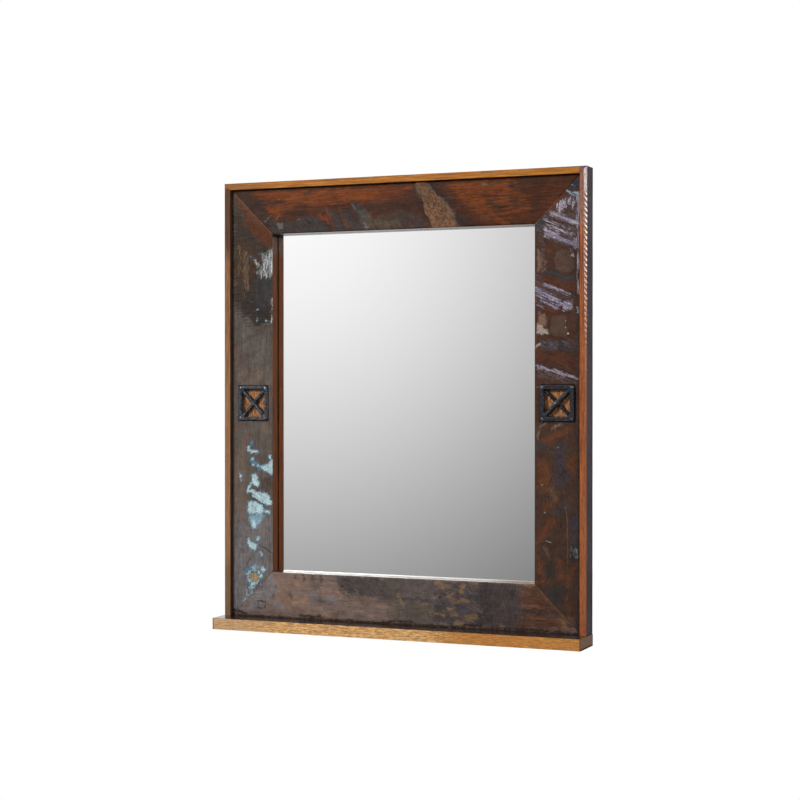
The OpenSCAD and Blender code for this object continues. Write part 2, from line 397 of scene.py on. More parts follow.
def make_weathering():
    """Uneven light and dark over all the films, with fine scratches along the grain and dark pits."""
    graph, given, out = new_group(
        "weathering",
        {"Where": (0.0, 0.0, 0.0), "Turn": 0.0, "Seed": 0.0, "Strength": 0.5, "Color": (0.3, 0.2, 0.1, 1.0),
         "Height": 0.0},
        {"Color": 4, "Height": 1})
    scratch_length, scratch_width, scratch_depth = 16 * MM, 1.3 * MM, 2.6
    darkest, gleam_level = 0.3, 1.7
    pit_tone, pit_depth, fine_height = tint(34, 26, 24), 0.35, 0.3
    space = graph.group(GRAIN_SPACE, {
        "Where": given["Where"], "Turn": given["Turn"], "Length": scratch_length, "Width": scratch_width,
        "Seed": given["Seed"]})["Along"]
    broad = graph.noise(given["Where"], 30.0, 3.0, 0.6)
    middle = graph.noise(given["Where"], 105.0, 3.0, 0.65)
    fine = graph.noise(given["Where"], 330.0, 3.0, 0.7)
    scratch = graph.noise(space, 1.0, 3.0, 0.65)
    elsewhere = graph.vector("ADD", given["Where"], (3.1, 0.0, 1.7))
    scratched = graph.ramp(graph.noise(elsewhere, 22.0, 2.0, 0.5), 0.4, 0.6)
    uneven = 0.0
    for spots, weight in ((broad, 1.4), (middle, 1.6), (fine, 1.2)):
        uneven = graph.plus(graph.centred(spots), weight, uneven)
    uneven = graph.plus(graph.times(graph.centred(scratch), scratched), scratch_depth, uneven)
    level = graph.math("MAXIMUM", graph.plus(uneven, given["Strength"], 1.0), darkest)
    gleam = graph.times(graph.ramp(scratch, 0.6, 0.74), graph.ramp(fine, 0.44, 0.56))
    gleaming = graph.times(gleam, given["Strength"])
    aged = graph.mix(gleaming, graph.scale(given["Color"], level), graph.scale(given["Color"], gleam_level))
    pits = graph.ramp(graph.noise(given["Where"], 210.0, 4.0, 0.75), 0.6, 0.68)
    pitted = graph.times(pits, given["Strength"])
    graph.feed(out["Color"], graph.mix(pitted, aged, pit_tone))
    graph.feed(out["Height"], graph.plus(pitted, -pit_depth, graph.plus(fine, fine_height, given["Height"])))
    return graph.tree


GRAIN_SPACE = make_grain_space()
BOARD_GRAIN = make_board_grain()
PAINT_FILM = make_paint_film()
SAW_MARKS = make_saw_marks()
WEATHERING = make_weathering()


# ---- marks on the boards: shapes in the front view, in millimetres ----

def line(width, *points):
    """A stroke of one width along points."""
    def distance(x, z):
        best = np.full_like(x, np.inf)
        for (x0, z0), (x1, z1) in zip(points, points[1:]):
            run, rise = x1 - x0, z1 - z0
            along = np.clip(((x - x0) * run + (z - z0) * rise) / (run * run + rise * rise), 0, 1)
            best = np.minimum(best, np.hypot(x - x0 - along * run, z - z0 - along * rise))
        return best - width / 2
    return distance


def patch(*points):
    """A filled outline."""
    border = line(0, *points, points[0])

    def distance(x, z):
        inside = np.zeros(x.shape, bool)
        for (x0, z0), (x1, z1) in zip(points, points[1:] + points[:1]):
            if z0 != z1:
                inside ^= ((z0 > z) != (z1 > z)) & (x < (x1 - x0) * (z - z0) / (z1 - z0) + x0)
        return np.where(inside, -1, 1) * border(x, z)
    return distance


def dot(x_mid, z_mid, across, tall=None):
    """A round or oval spot."""
    half_w, half_h = across / 2, (tall or across) / 2

    def distance(x, z):
        return (np.hypot((x - x_mid) / half_w, (z - z_mid) / half_h) - 1) * min(half_w, half_h)
    return distance


# One film of paint, stain or dirt, and in a few films painted shadow or highlight: its two tones, the
# direction and size of its streaks in degrees and millimetres, how ragged, speckled and soft its edge is,
# how much it covers, how rough and thick it is, how far its edge spreads, how much its shapes grow, and
# the shapes that it fills. A body below 1 lets the noise wear holes in it, and bend is how much the outline
# wanders.
Film = namedtuple(
    "Film",
    "name first second shapes turn length width rag speckle soft cover rough rise reach grow body bend",
    defaults=(0, 20, 4, 1.3, 0.3, 0.15, 0.85, 0.45, 0, 6, 0, 0.85, 1))

# A film thicker or deeper than this shows in the mesh as well.
THICK_FILM = 0.2
# What a film's field falls to away from its shapes, below the reach of any noise.
FIELD_FLOOR = -1.5


def film_field(film, places):
    """High inside the film's shapes, a half at their edges and well below 0 away from them."""
    x, z = places[:, 0] / MM, places[:, 2] / MM
    # The outlines wander a few millimetres, on waves of several lengths that never line up.
    sway_x = 1.5 * np.sin(z / 7.3 + 1.7 * np.sin(x / 11.9))
    sway_z = 1.5 * np.sin(x / 6.7 + 1.9 * np.sin(z / 12.7))
    sway_x += 1.1 * np.sin(z / 2.9 + x / 4.7 + np.sin(x / 1.9))
    sway_z += 1.1 * np.sin(x / 3.1 - z / 4.3 + np.sin(z / 2.1))
    bent = x + film.bend * sway_x, z + film.bend * sway_z
    nearest = np.min([shape(*bent) for shape in film.shapes], axis=0) - film.grow
    return np.clip(0.5 - nearest / (2 * film.reach), FIELD_FLOOR, film.body)


def paint(piece, films):
    """Stores each film's field on the mesh, and raises or sinks the front where the film is thick."""
    front_skin, edge, fade = 0.5 * MM, 0.45, 0.2
    places = corners_of(piece)
    front = places[:, 1] < FACE_LOW.y + front_skin
    for film in films:
        field = film_field(film, places)
        stored = piece.data.attributes.new(film.name, "FLOAT", "POINT")
        stored.data.foreach_set("value", field.astype(np.float32))
        if abs(film.rise) > THICK_FILM:
            body = np.clip((field - edge) / fade, 0, 1)
            places[front, 1] -= (film.rise * MM * body)[front]
    put_corners(piece, places)


def film_layer(graph, where, film, seed, under):
    """Lays one film over the colour, roughness and height beneath it."""
    layer = graph.group(PAINT_FILM, {
        "Where": where, "Field": graph.add("ShaderNodeAttribute", attribute_name=film.name).outputs["Fac"],
        "Turn": math.radians(film.turn), "Length": film.length * MM, "Width": film.width * MM, "Seed": seed,
        "Rag": film.rag, "Speckle": film.speckle, "Soft": film.soft, "Cover": film.cover,
        "First": tint(*film.first), "Second": tint(*film.second), "Roughness": film.rough, "Rise": film.rise,
        "Under Color": under[0], "Under Roughness": under[1], "Under Height": under[2]})
    return layer["Color"], layer["Roughness"], layer["Height"]


def board_material(name, grain, films, turn, worn, sawn, seed):
    """Old timber under its films, worn along one direction and varnished over; sawn adds ridges there."""
    bare_rough, grain_relief = 0.42, 0.25
    saw_shade, saw_depth = 0.25, 0.15
    seed_step = 7.3
    material, graph = new_material(name)
    where = graph.where()
    wood = graph.group(BOARD_GRAIN, {"Where": where, **grain})
    colour, rough, height = wood["Color"], bare_rough, graph.times(wood["Height"], grain_relief)
    if sawn:
        marks = graph.group(SAW_MARKS, {"Where": where, "Turn": math.radians(turn), "Seed": seed})
        colour = graph.mix(graph.times(marks["Mask"], saw_shade), colour, grain["Dark"])
        height = graph.plus(marks["Mask"], -saw_depth, height)
    for number, film in enumerate(films):
        colour, rough, height = film_layer(
            graph, where, film, seed_step * number + seed, (colour, rough, height))
    aged = graph.group(WEATHERING, {
        "Where": where, "Color": colour, "Height": height, "Turn": math.radians(turn), "Seed": seed,
        "Strength": worn})
    finish_material(graph, aged["Color"], rough, aged["Height"], VARNISH)
    return material


# ---- the films of the four face boards ----

MITRE_TONES = ((138, 102, 72), (104, 74, 52))
UMBER = ((26, 18, 15), (42, 30, 24))

TOP_FILMS = [
    Film("ember", (112, 53, 12), (86, 39, 11), turn=2, length=60, width=5, rag=1.6, soft=0.28, cover=0.85,
         reach=10, shapes=(
        patch((-284, 113), (-100, 113), (-30, 112), (26, 108), (-16, 90), (-96, 88), (-162, 90), (-230, 96)),
        patch((-268, 86), (-232, 89), (-208, 80), (-214, 70), (-240, 72)),
        line(12, (120, 106), (210, 100)), patch((124, 92), (150, 88), (168, 70), (150, 62), (128, 76)),
        line(9, (100, 112), (118, 84)))),
    Film("amber", (146, 78, 20), (118, 57, 14), turn=3, length=46, width=1.6, rag=2.6, speckle=0.2,
         soft=0.2, cover=0.5, reach=12, body=0.44, shapes=(
        patch((-280, 112), (-100, 112), (-40, 104), (-100, 88), (-200, 92), (-232, 70), (-250, 90)),
        patch((90, 112), (210, 112), (236, 60), (160, 50), (120, 80)))),
    Film("umber", (44, 26, 18), (60, 34, 21), turn=2, length=50, width=4, rag=1.8, soft=0.26, cover=0.85,
         reach=10, shapes=(
        line(7, (-286, 92), (-218, 91)), line(9, (-216, 76), (-176, 70)),
        # The line along the top edge is a painted shadow under the case's top board; the other shapes are
        # dark stain.
        line(5, (-300, 117), (300, 117)),
        patch((-98, 86), (0, 84), (34, 96), (44, 72), (20, 68), (-50, 66), (-86, 74)),
        patch((112, 66), (142, 46), (150, 37), (108, 37)), line(8, (204, 104), (226, 98)),
        line(8, (162, 76), (182, 64)), line(7, (232, 108), (262, 108)), line(9, (250, 84), (240, 60)),
        line(7, (200, 84), (214, 70)))),
    Film("corner_soot", (40, 29, 21), (54, 38, 27), turn=2, length=22, width=3, rag=1.6, soft=0.26,
         cover=0.82, reach=9, shapes=(
        patch((-326, 119), (-292, 116), (-284, 104), (-268, 92), (-254, 72), (-238, 60), (-244, 38),
              (-262, 56), (-300, 94)),)),
    Film("slate", (40, 37, 37), (60, 56, 56), turn=-50, length=24, width=4, rag=1.2, speckle=0.3,
         soft=0.26, cover=0.85, reach=9, shapes=(
        patch((-246, 57), (-224, 61), (-206, 58), (-190, 66), (-165, 66), (-132, 55), (-128, 37), (-246, 37)),
        patch((-141, 80), (-122, 74), (-106, 58), (-96, 37), (-121, 37)),
        patch((-112, 76), (-97, 74), (-84, 58), (-72, 37), (-93, 37)),
        patch((-93, 91), (-72, 84), (-58, 68), (-46, 37), (-70, 37)))),
    Film("ash", (46, 37, 33), (70, 60, 54), turn=-72, length=10, width=2, rag=1.8, speckle=0.4, soft=0.2,
         cover=0.75, reach=9, shapes=(
        patch((0, 72), (28, 66), (46, 56), (54, 37), (-48, 37), (-44, 58)),)),
    Film("khaki", (98, 86, 69), (74, 65, 54), turn=-70, length=14, width=3, rag=1.7, speckle=0.4,
         soft=0.26, cover=0.6, reach=8, shapes=(
        patch((-77, 74), (-62, 71), (-50, 56), (-46, 40), (-60, 42), (-70, 56)),
        patch((-46, 56), (0, 54), (2, 42), (-40, 40)))),
    Film("band_shadow", (36, 25, 25), (50, 34, 30), turn=-52, length=26, width=5, rag=1.2, soft=0.26,
         cover=0.85, reach=8, shapes=(
        line(12, (60, 112), (80, 90), (102, 62), (114, 44)), line(5, (28, 100), (41, 76), (50, 52)))),
    Film("plaster", (84, 60, 44), (128, 96, 73), turn=-50, length=9, width=5, rag=0.6, speckle=0.5,
         soft=0.12, cover=0.92, rough=0.75, rise=0.7, reach=5, body=1, shapes=(
        patch((29, 119), (30, 107), (40, 93), (45, 74), (51, 58), (62, 37), (110, 37), (103, 56),
              (90, 76), (82, 87), (69, 94), (58, 110), (54, 119)),)),
    Film("mortar", (70, 61, 53), (98, 89, 80), turn=-50, length=7, width=4, rag=1.3, speckle=0.6,
         soft=0.2, cover=0.7, rough=0.8, reach=5, shapes=(
        dot(78, 86, 11, 9), line(5, (31, 112), (33, 104), (42, 92)),
        line(5, (110, 40), (97, 66), (86, 80)), line(7, (50, 117), (58, 104)))),
    Film("copper", (120, 58, 20), (98, 46, 18), turn=-60, length=26, width=3, rag=1.1, soft=0.28,
         cover=0.65, reach=5, shapes=(
        line(3, (-141, 80), (-120, 40)), line(2.6, (-114, 78), (-97, 44)), line(7, (164, 60), (196, 39)),
        line(4, (-152, 70), (-131, 54)))),
    Film("chalk", (128, 128, 126), (96, 98, 100), turn=-40, length=8, width=2, rag=1.6, speckle=0.8,
         soft=0.2, cover=0.5, reach=3, bend=0.4, shapes=(
        line(1.2, (-259, 60), (-246, 70)), line(1.1, (-240, 62), (-230, 70)),
        line(1, (-196, 61), (-182, 65)), patch((-235, 58), (-224, 58), (-221, 46), (-232, 46)),
        line(2, (-66, 52), (-60, 43)), line(1.2, (-90, 86), (-82, 74)), dot(-231, 97, 2.6),
        dot(156, 108, 8, 4))),
    Film("top_mitre", *MITRE_TONES, turn=45, length=10, width=3, rag=0.9, soft=0.2, cover=0.5, rough=0.6,
         reach=2, body=1, bend=0, shapes=(
        line(1.3, (-318, 112), (-244, 38)), line(1.3, (286, 80), (244, 38)))),
]

BOTTOM_FILMS = [
    Film("tan_smear", (146, 118, 100), (130, 104, 90), turn=-30, length=30, width=10, rag=1.2, soft=0.36,
         cover=0.7, reach=16, shapes=(
        patch((-246, -572), (-180, -566), (-166, -630), (-240, -622)),
        line(14, (-150, -592), (-116, -592)), line(8, (-160, -628), (-130, -630)))),
    Film("steel", (120, 121, 125), (104, 105, 110), turn=60, length=16, width=8, rag=1.2, soft=0.36,
         cover=0.6, reach=9, shapes=(
        patch((-262, -580), (-244, -562), (-232, -592), (-262, -622), (-306, -632)),
        dot(-192, -590, 12, 12), line(9, (-240, -618), (-228, -622)), dot(-130, -600, 26, 14),
        dot(-164, -600, 10, 20))),
    Film("slate", (50, 46, 50), (78, 71, 70), turn=-40, length=26, width=6, rag=1.3, speckle=0.2,
         soft=0.32, cover=0.85, reach=11, shapes=(
        patch((-130, -559), (4, -559), (4, -598), (-26, -600), (-60, -594), (-92, -592), (-112, -578)),
        patch((60, -559), (166, -559), (166, -636), (60, -636)))),
    Film("dove", (76, 70, 70), (92, 82, 78), turn=84, length=22, width=4, rag=1.3, speckle=0.2, soft=0.3,
         cover=0.85, reach=8, shapes=(
        patch((-2, -559), (70, -559), (64, -590), (60, -636), (-8, -636)),)),
    Film("plum", (66, 56, 56), (50, 43, 45), turn=80, length=30, width=8, rag=1.2, soft=0.32, cover=0.88,
         reach=10, shapes=(
        patch((146, -559), (222, -559), (224, -600), (222, -636), (146, -636)),)),
    Film("rust", (90, 52, 32), (58, 39, 31), turn=-2, length=30, width=4, rag=1.6, speckle=0.2, soft=0.3,
         cover=0.88, reach=11, shapes=(
        patch((220, -563), (250, -559), (298, -612), (312, -628), (300, -636), (220, -636)),)),
    Film("ochre", (142, 114, 84), (110, 88, 66), turn=-14, length=14, width=4, rag=1.8, speckle=0.5,
         soft=0.26, cover=0.72, rough=0.5, body=0.75, reach=6, shapes=(
        line(6, (72, -571), (92, -571)), patch((110, -566), (122, -566), (120, -579), (112, -579)),
        line(7, (90, -586), (99, -583)), line(6, (101, -596), (122, -594)),
        line(5, (88, -607), (101, -607)), line(8, (122, -620), (140, -621)),
        line(5, (96, -620), (106, -619)), line(5, (46, -618), (80, -618)),
        line(6, (104, -632), (120, -632)), line(7, (-1, -594), (7, -602)),
        line(4, (50, -601), (36, -603)), line(6, (68, -565), (76, -567)),
        line(3, (62, -590), (74, -587)))),
    Film("olive", (98, 87, 73), (80, 72, 63), turn=78, length=14, width=3.4, rag=1.7, speckle=0.4,
         soft=0.26, cover=0.62, reach=9, shapes=(
        patch((10, -600), (54, -602), (52, -630), (12, -632)),
        patch((-24, -566), (0, -562), (2, -634), (-22, -632)), line(6, (-92, -593), (-82, -594)),
        line(8, (-72, -606), (-60, -607)), line(7, (-120, -630), (-106, -626)),
        line(6, (-80, -628), (-76, -634)))),
    Film("inkline", (52, 54, 62), (66, 66, 72), turn=2, length=20, width=3, rag=1.5, soft=0.26,
         cover=0.75, reach=4, shapes=(
        line(4, (8, -594), (62, -597)), line(5, (98, -604), (124, -606)))),
    Film("orange", (128, 82, 56), (108, 76, 58), turn=0, length=18, width=3, rag=1.5, soft=0.34,
         cover=0.55, reach=7, shapes=(
        line(3, (-90, -602), (-26, -606)), dot(-191, -603, 10, 7), line(3, (-138, -592), (-118, -594)),
        line(3, (226, -597), (252, -598)), line(3, (232, -614), (262, -616)),
        line(4, (262, -575), (256, -564)), dot(138, -567, 10, 6), line(3, (224, -562), (246, -563)),
        dot(132, -620, 12, 6), line(3, (108, -595), (122, -594)))),
    Film("clay", (124, 92, 65), (96, 74, 56), turn=-40, length=14, width=4, rag=1.5, speckle=0.5,
         soft=0.24, cover=0.78, rough=0.5, reach=6, shapes=(
        patch((286, -616), (295, -615), (300, -624), (308, -634), (294, -630)),)),
    Film("moss", (40, 39, 40), (52, 49, 48), turn=70, length=14, width=4, rag=1.3, soft=0.3, cover=0.7,
         reach=7, shapes=(
        dot(-238, -584, 5, 4), dot(-208, -599, 5, 7), dot(-244, -599, 3.5),
        line(2, (-118, -580), (-104, -592), (-94, -602)), dot(78, -590, 6),
        line(5, (84, -600), (72, -606)), line(5, (128, -588), (146, -586)), dot(205, -580, 16, 12),
        line(2, (-186, -562), (-180, -572)), line(2, (-166, -562), (-163, -574)),
        line(2, (-150, -562), (-150, -572)), line(2, (-198, -562), (-200, -570)),
        line(8, (252, -606), (288, -608)), line(5, (220, -606), (246, -608)))),
    Film("crust", (28, 18, 14), (48, 30, 22), turn=4, length=10, width=2, rag=1.6, speckle=1.0, soft=0.22,
         cover=0.88, rough=0.3, rise=-0.3, reach=5, bend=0.2, shapes=(
        line(6, (-318, -632), (-298, -636)), line(6, (-324, -640), (324, -640)),
        line(5, (170, -637), (290, -637)), line(4, (-190, -636), (-150, -634)),
        line(4, (-20, -636), (24, -634)), line(5, (120, -634), (150, -636)))),
    Film("outline", (52, 44, 46), (62, 52, 52), length=10, width=3, rag=0.6, soft=0.2, cover=0.9,
         rough=0.5, rise=-0.25, reach=2, body=1, bend=0.5, shapes=(
        line(2, (-258, -614), (-258, -624), (-273, -625), (-274, -613), (-258, -612)),)),
    Film("scratch", (118, 112, 106), (92, 88, 86), turn=50, length=8, width=2, rag=1.3, speckle=0.6,
         soft=0.2, cover=0.55, reach=2, bend=0.4, shapes=(
        line(1.1, (190, -590), (188, -596), (191, -602)),
        line(1.2, (143, -606), (150, -614), (158, -626)), line(1, (204, -608), (214, -609)),
        # The dots at z -636 and -637 and the short lines at z -637 are painted glints along the joint with
        # the shelf; the other shapes are scratches.
        dot(214.5, -636, 2.2, 3), dot(271, -637, 2), line(1, (148, -604), (151, -612)),
        line(1.2, (-228, -637), (-216, -637)), line(1, (-90, -637), (-82, -637)),
        line(1, (34, -637), (46, -637)))),
    Film("bottom_mitre", *MITRE_TONES, turn=45, length=14, width=3, rag=1.3, soft=0.24, cover=0.45,
         rough=0.6, reach=2, body=1, bend=0, shapes=(
        line(0.6, (-318, -634), (-244, -560)), line(1.4, (318, -634), (244, -560)))),
]

PALE_SHAPES = (
    line(4.5, (-293, -340), (-290, -346), (-276, -346)), dot(-284, -359, 2.6), dot(-281, -370, 3),
    dot(-272, -373, 3.5),
    patch((-268, -374), (-262, -380), (-254, -380), (-250, -383), (-246, -387), (-243, -387),
          (-243, -361), (-248, -360), (-252, -368), (-257, -369), (-262, -370)), dot(-249, -356, 5),
    dot(-306.5, -392, 3, 8),
    patch((-286.5, -387.5), (-277, -387.5), (-274, -397), (-271.5, -402.5), (-272, -407.5),
          (-280, -406.7), (-284, -400)),
    line(3.5, (-285, -402), (-290, -410), (-293, -419), (-285, -419)),
    line(3, (-271, -574), (-278, -580)), dot(-294, -567, 2, 4),
    patch((-286, -415), (-270, -419), (-256, -421), (-250.7, -428), (-244.3, -436.7), (-245.7, -440),
          (-257, -440), (-267, -436.7), (-274, -431), (-284, -426)),
    patch((-292, -436), (-281, -435), (-274, -438), (-266, -441.7), (-260, -446.7), (-260.7, -453),
          (-269, -457.5), (-290, -457.5), (-293, -445)), dot(-255.7, -452.5, 7, 5),
    patch((-285, -468), (-277, -468), (-278, -482), (-284, -482)), dot(-272, -502.5, 2.6),
    patch((-291.5, -502.5), (-285, -508), (-275.7, -512.5), (-274.8, -516.7), (-280, -521), (-288, -518),
          (-292.7, -514)), dot(-263, -557, 6, 8), dot(-268, -567, 6, 7), dot(-290, -561, 3.4, 5),
    dot(-281, -557, 5, 2.6), dot(-272, -562, 3.4), dot(-292, -576, 3.4, 5),
    patch((-291, -578), (-277, -578), (-280, -588), (-288, -587)), dot(-267, -583, 3.5)
)

LEFT_FILMS = [
    Film("ashen", (130, 126, 127), (108, 105, 107), turn=89, length=44, width=2.4, rag=1.6, speckle=0.2,
         soft=0.32, cover=0.75, reach=36, shapes=(
        patch((-334, -456), (-238, -456), (-238, -566), (-334, -660)),)),
    Film("haze", (112, 112, 116), (102, 100, 102), turn=88, length=50, width=12, rag=1.0, soft=0.34,
         cover=0.7, reach=10, shapes=(
        line(9, (-300, -138), (-300, -158)), line(9, (-272, -166), (-272, -182)),
        patch((-285, -522), (-261, -522), (-261, -552), (-285, -552)),
        patch((-262, -590), (-300, -600), (-300, -622), (-246, -600)))),
    Film("sand", (120, 101, 84), (108, 92, 80), turn=86, length=30, width=8, rag=1.2, soft=0.36,
         cover=0.6, reach=12, shapes=(
        patch((-306, -200), (-254, -198), (-256, -224), (-302, -224)),
        patch((-246, -294), (-268, -294), (-262, -312), (-246, -314)),
        patch((-320, -330), (-300, -340), (-298, -470), (-320, -480)))),
    Film("veins", (76, 67, 62), (86, 76, 70), turn=90, length=46, width=1.3, rag=2.4, soft=0.3,
         cover=0.55, body=0.5, reach=20, shapes=(
        patch((-330, -120), (-238, -120), (-238, -570), (-330, -650)),)),
    Film("soot", (25, 19, 16), (40, 31, 25), turn=3, length=18, width=1.8, rag=2.0, speckle=0.4, soft=0.3,
         cover=0.88, rise=-0.25, reach=16, shapes=(
        patch((-244, 32), (-262, 42), (-284, 56), (-306, 76), (-322, 112), (-322, -80), (-302, -108),
              (-270, -128), (-244, -116)),)),
    Film("hairlines", (98, 74, 46), (70, 60, 42), turn=5, length=13, width=0.9, rag=3.2, speckle=1.0,
         soft=0.14, cover=0.42, body=0.33, reach=12, shapes=(
        patch((-262, 44), (-318, 92), (-318, -70), (-290, -100), (-270, 0)),)),
    Film("russet", (82, 52, 30), (60, 39, 27), turn=76, length=15, width=2.6, rag=2.4, speckle=0.6,
         soft=0.24, cover=0.66, reach=12, body=0.6, shapes=(
        patch((-316, 24), (-292, 30), (-268, 6), (-276, -34), (-298, -62), (-318, -44)),
        line(10, (-310, 60), (-296, 52)))),
    Film("charcoal", (44, 42, 43), (60, 58, 58), turn=86, length=16, width=3, rag=1.6, speckle=0.4,
         soft=0.28, cover=0.75, reach=9, shapes=(
        patch((-243, -36), (-262, -34), (-280, -42), (-280, -80), (-262, -92), (-243, -88)),)),
    Film("rust", (108, 72, 54), (96, 68, 54), turn=84, length=22, width=6, rag=1.2, speckle=0.2,
         soft=0.34, cover=0.55, reach=8, shapes=(
        line(7, (-313, -164), (-312, -188)), line(5, (-304, -200), (-314, -208)),
        line(6, (-302, -296), (-316, -312)), line(5, (-288, -314), (-298, -334)))),
    Film("tan", (128, 104, 82), (98, 78, 60), turn=84, length=16, width=1.4, rag=2.6, speckle=0.8,
         soft=0.2, cover=0.62, reach=6, body=0.52, bend=0.6, shapes=(
        line(9, (-298, 4), (-296, -54)), line(2, (-296, -24), (-296, -40)), dot(-297, -53, 3),
        dot(-302, -66, 3), line(1.5, (-310, 20), (-310, -30)))),
    Film("grime", (64, 54, 49), (82, 70, 63), turn=60, length=24, width=2.4, rag=2.0, speckle=0.4,
         soft=0.26, cover=0.66, rough=0.5, reach=6, shapes=(
        line(2, (-260, -200), (-260, -228)), line(2, (-293, -165), (-293, -206)),
        line(8, (-318, -158), (-250, -124)), line(6, (-318, -196), (-270, -166)),
        line(5, (-296, -214), (-250, -188)), line(4, (-320, -232), (-286, -214)),
        line(6, (-254, -404), (-262, -446)),
        patch((-246, -392), (-266, -398), (-262, -414), (-246, -416)),
        line(5, (-280, -524), (-300, -560)))),
    Film("clean", (96, 47, 14), (70, 36, 16), turn=58, length=30, width=4, rag=1.5, speckle=0.3,
         soft=0.34, cover=0.86, rough=0.38, reach=10, bend=0.5, shapes=(
        patch((-241, 40), (-242, 10), (-254, 16), (-268, 30), (-284, 42), (-294, 58), (-306, 76),
              (-313, 94), (-320, 116), (-316, 114)),)),
    Film("silver", (182, 186, 186), (116, 120, 120), turn=90, length=12, width=1.2, rag=2.8, speckle=1.0,
         soft=0.14, cover=0.85, rough=0.5, body=0.58, reach=6, bend=0.5, shapes=(
        patch((-263, 3), (-251, 10), (-243, 10), (-243, -30), (-251, -37), (-263, -36)), dot(-279, -9, 3),
        dot(-272, -16, 4, 6), dot(-267, -24, 3, 6), dot(-275, -28, 3))),
    Film("silver_bright", (214, 216, 218), (168, 172, 176), turn=90, length=9, width=1.2, rag=1.8,
         speckle=0.8, soft=0.16, cover=0.9, rough=0.5, rise=0.2, reach=3, bend=0.3, shapes=(
        line(1.8, (-261, -8), (-261, -29)), line(2.4, (-245, 9), (-245, -28)),
        line(1.1, (-256, -30), (-256, -41)), line(1.1, (-266, -28), (-266, -41)),
        line(1.6, (-250, 9), (-250, -14)), line(1.5, (-255, -2), (-255, -22)),
        line(0.9, (-245, -75), (-245, -95)), line(0.9, (-245, -105), (-245, -120)),
        dot(-275, -13, 4, 3))),
    Film("sea", (54, 98, 130), (88, 130, 152), turn=30, length=7, width=3, rag=1.6, speckle=0.6, soft=0.2,
         cover=0.85, rough=0.5, reach=4, grow=1.1, bend=0.6, shapes=PALE_SHAPES + (
        dot(-286, 0, 2.4, 2), dot(-268.5, 3.5, 0.4), line(4, (-285, -363), (-277, -369), (-268, -377)),
        dot(-285, -333, 6, 5), line(4, (-295, -553), (-297, -566)), line(3, (-282, -552), (-276, -553)))),
    Film("veil", (156, 190, 204), (104, 140, 160), turn=30, length=10, width=3, rag=1.6, speckle=0.9,
         soft=0.22, cover=0.8, rough=0.5, reach=5, bend=0.6, shapes=(
        dot(-274, -93, 0.8), dot(-275, -112, 0.8, 2), dot(-256, -115, 0.8), dot(-290, -590, 2.6, 5),
        dot(-294, -599, 2, 5), dot(-298, -608, 3, 5),
        patch((-291, -458), (-262, -457), (-266.5, -470), (-275.7, -480), (-284, -485), (-288, -477)),
        dot(-266.5, -528, 7), dot(-271.5, -500, 8), dot(-279, -553, 12, 5), dot(-285, -595, 3, 7),
        dot(-302, -613, 4, 3), line(2, (-276, -442), (-262, -462)))),
    Film("pale_blue", (174, 196, 199), (140, 170, 180), turn=35, length=7, width=3, rag=1.8, speckle=1.0,
         soft=0.16, cover=0.93, rough=0.5, rise=0.3, reach=4, grow=0.1, bend=0.6, shapes=PALE_SHAPES),
    Film("light_blue", (194, 212, 212), (170, 196, 198), turn=-30, length=8, width=2, rag=1.8,
         speckle=0.8, soft=0.2, cover=0.75, rough=0.5, reach=5, body=0.58, grow=-1.6, bend=0.6,
         shapes=PALE_SHAPES),
    Film("blue_scratch", (58, 76, 94), (74, 90, 102), turn=-30, length=10, width=1.4, rag=1.4,
         speckle=0.4, soft=0.2, cover=0.75, rough=0.5, rise=-0.25, reach=1.6, bend=0.3, shapes=(
        line(1.2, (-286, -421), (-272, -428), (-260, -436)), line(1, (-270, -422), (-256, -430)),
        line(0.9, (-256, -372), (-246, -378)), line(1, (-258, -364), (-250, -376)),
        line(0.9, (-282, -391), (-275, -400)), line(1, (-288, -441), (-276, -448)),
        line(0.9, (-284, -448), (-268, -453)), line(0.9, (-290, -508), (-280, -516)),
        line(1, (-263, -430), (-250, -436)), dot(-288, -582, 3.5, 5), dot(-284, -579, 3),
        line(1.4, (-270, -577), (-270, -583)), dot(-283, -586, 3))),
    Film("ochre", (142, 116, 86), (168, 146, 112), length=6, width=4, rag=1.2, speckle=0.6, soft=0.2,
         cover=0.88, rough=0.6, reach=4, body=1, shapes=(
        patch((-290.7, -562), (-279, -561), (-272, -570), (-274, -577), (-286, -577), (-291.5, -574)),)),
    Film("nicks", (62, 52, 48), (74, 62, 56), turn=-30, length=14, width=2, rag=1.2, speckle=0.3,
         soft=0.24, cover=0.8, rough=0.5, rise=-0.25, reach=2.4, bend=0.3, shapes=(
        patch((-274, -510), (-244, -525), (-244, -529), (-270, -514)),
        line(1.4, (-286, -430), (-269, -435)), line(1, (-300, -470), (-292, -480)),
        line(1, (-308, -250), (-296, -246)), line(0.9, (-262, -336), (-250, -344)),
        line(0.9, (-314, -350), (-304, -358)), line(1, (-258, -480), (-246, -488)),
        line(0.9, (-312, -520), (-300, -526)), line(0.9, (-276, -150), (-262, -146)),
        line(0.9, (-310, -215), (-300, -212)))),
    Film("foot_umber", *UMBER, turn=4, length=10, width=2, rag=2.0, speckle=1.0, soft=0.18, cover=0.9,
         rough=0.3, rise=-0.3, reach=5, bend=0.2, shapes=(
        line(9, (-324, -640), (-244, -640)), line(6, (-320, -632), (-298, -637)))),
    Film("left_mitre", *MITRE_TONES, turn=45, length=14, width=3, rag=1.1, soft=0.2, cover=0.5, rough=0.6,
         reach=2, body=1, bend=0, shapes=(
        line(1.2, (-318, 112), (-244, 38)), line(0.6, (-318, -634), (-244, -560)))),
]

